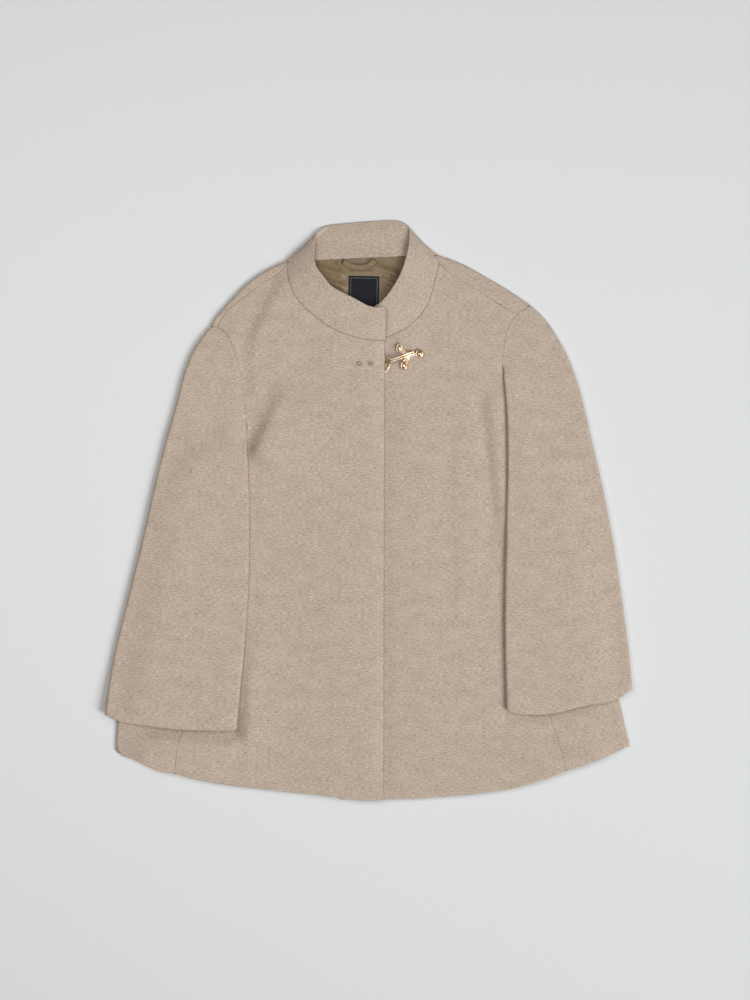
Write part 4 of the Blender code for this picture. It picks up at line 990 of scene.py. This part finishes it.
def stitched(name, lines, spacing, length, thickness, thread):
    """Stitches along lines of points of the plan lines. All sizes are in mm."""
    points, edges = [], []
    for line in lines:
        edges += [(len(points) + i, len(points) + i + 1) for i in range(len(line) - 1)]
        points += in_metres(line).tolist()
    mesh = bpy.data.meshes.new(name + "_line")
    mesh.from_pydata(points, edges, [])
    guide = put(name + "_guide", mesh)
    modifier = guide.modifiers.new("Stitches", "NODES")
    modifier.node_group = stitches
    values = {"Stitch Spacing": spacing * MM, "Stitch Length": length * MM,
              "Thread Thickness": thickness * MM, "Thread": thread}
    for socket in stitches.interface.items_tree:
        if socket.in_out == "INPUT" and socket.name in values:
            modifier[socket.identifier] = values[socket.name]
    evaluated = guide.evaluated_get(bpy.context.evaluated_depsgraph_get())
    made = put(name, bpy.data.meshes.new_from_object(evaluated))
    made.data.materials.clear()
    made.data.materials.append(thread)
    made.data.shade_smooth()
    bpy.data.objects.remove(guide)
    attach(made, "root")
    return made


def spun_thread(name, colour, shade):
    """Spun polyester thread, slightly glossy, with its twist drawn as fine bands."""
    look, tree, shader = new_look(name)
    where = node(tree, "ShaderNodeTexCoord")
    twist = node(tree, "ShaderNodeTexNoise", {"Vector": (where, "Object"), "Scale": 2500.0, "Detail": 1.0})
    ramp = node(tree, "ShaderNodeValToRGB", {0: (twist, 0)})
    tint(ramp, (0.0, shade), (1.0, colour))
    plug(tree, shader, {"Base Color": (ramp, 0), "Roughness": 0.6})
    return look


grey_thread = spun_thread("label_border_thread", "#a2a4ab", "#83868e")
khaki_thread = spun_thread("loop_thread_khaki", "#8f7b60", "#6f5d45")
far, near_v, near, near_u = map(np.array, corners(BORDER_INSET))
border_lines = []
for start, end in ((near, near_u), (near_u, far), (far, near_v), (near_v, near)):
    side_line = [mix(start, end, t) for t in np.linspace(0, 1, 25)]
    border_lines.append([(*on_label(u, v), label_top(u, v) + 0.02) for u, v in side_line])
stitched("label_border_weave", border_lines, 0.8, 0.95, 0.42, grey_thread)
loop_lines = [[(x, y, loop_top(x, y) - 0.1) for x, y in beside(path, offset)]
              for offset in (TOPSTITCH, -TOPSTITCH)]
loop_rows = stitched("loop_topstitching", loop_lines, 2.0, 1.5, 0.3, khaki_thread)

# Clasp plate and studs. A small three-armed fastening cast in brass, polished and plated in warm gold. Each
# arm ends in an eye with a domed rivet that holds it to the left front.

STUDS = {"clasp_stud_top": (39.4, 208.8, 8.2, 11.8), "clasp_stud_low": (45.3, 186.6, 8.8, 12.0),
         "clasp_stud_side": (65.2, 201.6, 10.6, 11.0)}  # x, y, width, length
CLASP_MIDDLE = (51.0, 199.6)
PLATE_ARM = 3.0  # half the width of an arm at the middle, and the eyes are EYE_EXTRA wider
EYE_EXTRA = 1.0
PLATE_THICKNESS = 1.6
PLATE_BEVEL = 0.55
HARD_GAP = 0.3

# a dome inside a raised lip, as (share of the radius, height)
RIVET = [(0.0, 4.2), (0.16, 4.14), (0.32, 3.9), (0.48, 3.44), (0.6, 2.85), (0.68, 2.2), (0.71, 1.7),
         (0.74, 1.5), (0.79, 1.62), (0.85, 1.78), (0.91, 1.7), (0.97, 1.3), (1.0, 0.7), (0.97, 0.1), (0.9, 0.0),
         (0.0, 0.0)]


def gold_plate(name, light, deep):
    """Gold plate on polished brass, a soft mirror, with a deeper tone where the plating is thicker."""
    look, tree, shader = new_look(name)
    where = node(tree, "ShaderNodeTexCoord")
    waves = node(tree, "ShaderNodeTexNoise", {"Vector": (where, "Object"), "Scale": 160.0, "Detail": 1.0})
    ramp = node(tree, "ShaderNodeValToRGB", {0: (waves, 0)})
    tint(ramp, (0.35, deep), (0.6, light))
    plug(tree, shader, {"Base Color": (ramp, 0), "Metallic": 1.0, "Roughness": 0.33})
    return look


def resting(x, y, top, radius):
    """The height that clears the cloth under a hard piece."""
    ring = [(x + radius * math.cos(a), y + radius * math.sin(a)) for a in np.linspace(0, 2 * math.pi, 13)]
    return max(top(px, py) for px, py in [(x, y), *ring]) + HARD_GAP


def hard_piece(name, bm, look, node_name):
    """A piece from its bmesh, which takes a node's place."""
    mesh = bpy.data.meshes.new(name)
    bm.to_mesh(mesh)
    bm.free()
    mesh.materials.append(look)
    mesh.shade_smooth()
    made = put(name, mesh)
    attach(made, "root")
    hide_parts(node_name)
    return made


def turned(name, x, y, width, length, low, profile, look, slot, node_name):
    """A round or oval piece from its profile of (share of the radius, height), middle first."""
    bm, sides = bmesh.new(), 40
    rings = []
    for share, height in profile:
        ring = []
        for i in range(sides if share > 0 else 1):
            a = 2 * math.pi * i / sides
            px, py = x + share * width / 2 * math.cos(a), y + share * length / 2 * math.sin(a)
            ring.append(bm.verts.new(tuple(in_metres((px, py, low + height)))))
        rings.append(ring)
    for near, far in zip(rings, rings[1:]):
        for i in range(sides):
            j = (i + 1) % sides
            if len(near) == 1:
                bm.faces.new((near[0], far[i], far[j]))
            elif len(far) == 1:
                bm.faces.new((near[i], far[0], near[j]))
            else:
                bm.faces.new((near[i], far[i], far[j], near[j]))
    return hard_piece(name, bm, look, node_name)


gold = gold_plate("gold_plated_brass_polished", "#f4e4ca", "#c8a178")
seats = [CLASP_MIDDLE, *(stud[:2] for stud in STUDS.values())]
plate_low = max(resting(x, y, front_top, 4.0) for x, y in seats)
seat = plate_low + PLATE_THICKNESS + HARD_GAP
centre = np.array(CLASP_MIDDLE)


def in_plate(point):
    """Whether a place, from the plate's middle, lies on an arm or an eye."""
    for x, y, width, length in STUDS.values():
        arm = np.array((x, y)) - centre
        t = min(1.0, max(0.0, point @ arm / (arm @ arm)))
        if np.linalg.norm(point - t * arm) < mix(PLATE_ARM, PLATE_ARM + EYE_EXTRA, ease((t - 0.4) / 0.6)):
            return True
    return False


bm = bmesh.new()
plate_line = []
for angle in np.linspace(0, 2 * math.pi, 120, endpoint=False):
    ray = np.array((math.cos(angle), math.sin(angle)))
    radius = max(r for r in np.arange(0.0, 30.0, 0.05) if in_plate(ray * r))
    plate_line.append(bm.verts.new(tuple(in_metres((*(centre + ray * radius), plate_low)))))
raised = bmesh.ops.extrude_face_region(bm, geom=[bm.faces.new(plate_line)])["geom"]
lifted = [v for v in raised if isinstance(v, bmesh.types.BMVert)]
bmesh.ops.translate(bm, vec=(0, 0, PLATE_THICKNESS * MM), verts=lifted)
bmesh.ops.recalc_face_normals(bm, faces=bm.faces[:])
plate = hard_piece("clasp_plate_gold", bm, gold, "clasp_plate")
edges = plate.modifiers.new("Edges", "BEVEL")
edges.width = PLATE_BEVEL * MM
edges.segments = 3
edges.limit_method = "ANGLE"
for stud_name, (x, y, width, length) in STUDS.items():
    turned(stud_name + "_gold", x, y, width, length, seat, RIVET, gold, "gold_plated_brass", stud_name)

# Hook and ring. The hook is a sprung tongue pressed with two ridges along it. It snaps shut round the wire
# ring, whose straight side is sewn under the edge of the right front.

HOOK_WIDTH = 5.4
HOOK_START = (58.4, 203.7)
HOOK_END = (23.2, 190.4)
RING_WIRE = 0.8  # radius of the wire
RING = [(20.4, 196.0), (22.0, 199.2), (25.2, 196.4), (28.2, 191.6), (27.2, 187.2), (23.8, 181.4),
        (20.9, 177.8), (19.9, 181.0), (19.9, 188.6), (20.4, 196.0)]


def swept(name, line, section, look, node_name, closed):
    """A bar along a line of points, from its section of (sideways, up) points."""
    line = np.array(line, float)
    if closed:
        ahead = np.roll(line, -1, axis=0) - np.roll(line, 1, axis=0)
    else:
        ahead = np.gradient(line, axis=0)
    ahead /= np.linalg.norm(ahead, axis=1)[:, None]
    aside = np.cross((0.0, 0.0, 1.0), ahead)
    aside /= np.linalg.norm(aside, axis=1)[:, None]
    up = np.cross(ahead, aside)
    bm = bmesh.new()
    rings = []
    for point, side_way, up_way in zip(line, aside, up):
        ring = in_metres([point + a * side_way + b * up_way for a, b in section])
        rings.append([bm.verts.new(tuple(p)) for p in ring])
    pairs = list(zip(rings, rings[1:])) + ([(rings[-1], rings[0])] if closed else [])
    for near, far in pairs:
        for i in range(len(section)):
            j = (i + 1) % len(section)
            bm.faces.new((near[i], near[j], far[j], far[i]))
    if not closed:
        bm.faces.new(rings[0][::-1])
        bm.faces.new(rings[-1])
    bmesh.ops.recalc_face_normals(bm, faces=bm.faces[:])
    hard_piece(name, bm, look, node_name)


ring_line = smooth(RING, step=1.1)[:-1]
ring_low = max(resting(x, y, front_top, 1.5) for x, y in ring_line)
wire = [(RING_WIRE * math.cos(a), RING_WIRE * math.sin(a))
        for a in np.linspace(0, 2 * math.pi, 14, endpoint=False)]
swept("clasp_ring_wire", [(x, y, ring_low + RING_WIRE) for x, y in ring_line], wire, gold,
      "clasp_ring", True)

over_ring = max(ring_low + 2 * RING_WIRE + HARD_GAP, seat)
tongue = np.array(HOOK_END) - np.array(HOOK_START)
length = float(np.linalg.norm(tongue))
tongue /= length
# the tongue bows up from the plate and turns down round the ring
bow = [(0.0, 0.0), (length * 0.3, 2.2), (length * 0.6, 3.2), (length - 5.0, 2.2), (length - 2.0, -0.2),
       (length - 0.9, -2.4)]
profile = smooth([(s, over_ring + rise) for s, rise in bow], step=0.9)
# two round ridges with a groove between them
ridge = [(HOOK_WIDTH / 4 * (math.cos(a) - 1), 1.0 + 1.05 * math.sin(a))
         for a in np.linspace(0.35, math.pi + 0.5, 8)]
ridges = ridge + [(-across, rise) for across, rise in ridge[::-1]]
swept("clasp_hook_gold", [(*(np.array(HOOK_START) + tongue * s), z) for s, z in profile], ridges, gold,
      "clasp_hook", False)

# Fixings. Two small rivets that hold the ring's tab under the right front, covered in the coat's own cloth
# and caught round with thread.

FIXINGS = {"fixing_outer": (-11.5, 188.8), "fixing_inner": (3.1, 188.8)}
FIXING_WIDTH = 6.6
FIXING_COVER = [(0.0, 0.62), (0.25, 0.66), (0.45, 0.72), (0.62, 0.95), (0.78, 1.0), (0.9, 0.85), (0.98, 0.5),
                (1.0, 0.2), (0.96, 0.0), (0.0, 0.0)]
THREAD_RADIUS = 2.75  # of the round of thread, which lies THREAD_UP above the front
THREAD_UP = 0.9
CROSS_HALF = 0.8  # the cross of thread in the dip at the middle
CROSS_UP = 0.66

covered = melange("wool_melange_covered", "#8f7c6a", "#a99583", "#c4b3a1")
taupe_thread = spun_thread("fixing_thread_taupe", "#7d6b5a", "#5d4d3f")
for fixing_name, (x, y) in FIXINGS.items():
    low = resting(x, y, over_top, 4.0)
    cap = turned(fixing_name + "_cover", x, y, FIXING_WIDTH, FIXING_WIDTH, low, FIXING_COVER, covered,
                 "wool_coating", fixing_name)
    layer = cap.data.uv_layers.new(name="cut")
    for loop in cap.data.loops:
        layer.data[loop.index].uv = cap.data.vertices[loop.vertex_index].co.xy
    lines = [[(x + THREAD_RADIUS * math.cos(a), y + THREAD_RADIUS * math.sin(a), low + THREAD_UP)
              for a in np.linspace(0, 2 * math.pi, 33)]]
    for half in (CROSS_HALF, -CROSS_HALF):
        lines.append([(x - CROSS_HALF, y - half, low + CROSS_UP), (x + CROSS_HALF, y + half, low + CROSS_UP)])
    stitched(fixing_name + "_thread", lines, 0.75, 0.7, 0.42, taupe_thread)

# The room: a plain pale surface under the jacket, and the soft light of a large window low to the right.

FLOOR_COLOUR = "#dfe0e0"
FLOOR_HALF = 20.0
FLOOR_DROP = 0.0002  # it lies this much under the cloth
CAMERA_LENS = 90.0
SENSOR_WIDTH = 36.0
FRAME_HEIGHT = 1280.0  # how much of the surface the picture is high, in mm
FRAME_LEVEL = 8.0  # the height at which that is so, in mm
FRAME_MIDDLE = (8.32, 14.72)
SKY = {"Color": (0.97, 0.98, 1.0, 1.0), "Strength": 0.07}

# place and aim in metres, side in metres, watts, colour
LIGHTS = {"window_right": ((4.28, -2.67, 4.83), (0, 0, 0), 3.5, 371.0, (0.985, 0.99, 1.0)),
          "ceiling_left": ((-0.82, 0.28, 1.70), (-0.29, 0, 0), 0.9, 11.4, (1.0, 0.975, 0.935)),
          "ceiling_right": ((0.82, 0.28, 1.70), (0.29, 0, 0), 0.9, 5.4, (0.95, 0.975, 1.0)),
          "ceiling_wide": ((0, 0, 2.6), (0, 0, 0), 3.6, 7.3, (1.0, 1.0, 1.0))}

bm = bmesh.new()
bmesh.ops.create_grid(bm, x_segments=4, y_segments=4, size=FLOOR_HALF)
bmesh.ops.translate(bm, vec=(0, 0, -FLOOR_DROP), verts=bm.verts[:])
mesh = bpy.data.meshes.new("floor")
bm.to_mesh(mesh)
bm.free()
paper, tree, shader = new_look("paper_matt_pale")
plug(tree, shader, {"Base Color": linear(FLOOR_COLOUR), "Roughness": 0.9, "Specular IOR Level": 0.1})
mesh.materials.append(paper)
put("floor", mesh)

for light_name, (place, aim, size, watts, colour) in LIGHTS.items():
    light = bpy.data.lights.new(light_name, "AREA")
    light.shape = "RECTANGLE"
    light.size = light.size_y = size
    light.energy = watts
    light.color = colour
    lamp = put(light_name, light)
    lamp.location = place
    lamp.rotation_euler = (Vector(aim) - Vector(place)).to_track_quat("-Z", "Y").to_euler()
world = bpy.data.worlds.new("room")
bpy.context.scene.world = world
world.use_nodes = True
plug(world.node_tree, world.node_tree.nodes["Background"], SKY)

camera_data = bpy.data.cameras.new("camera")
camera_data.lens = CAMERA_LENS
camera_data.sensor_fit = "AUTO"
camera_data.sensor_width = SENSOR_WIDTH
camera = put("camera", camera_data)
distance = CAMERA_LENS * FRAME_HEIGHT / SENSOR_WIDTH
camera.location = tuple(in_metres((*FRAME_MIDDLE, distance + FRAME_LEVEL)))
bpy.context.scene.camera = camera
bpy.context.scene.view_settings.view_transform = "Standard"
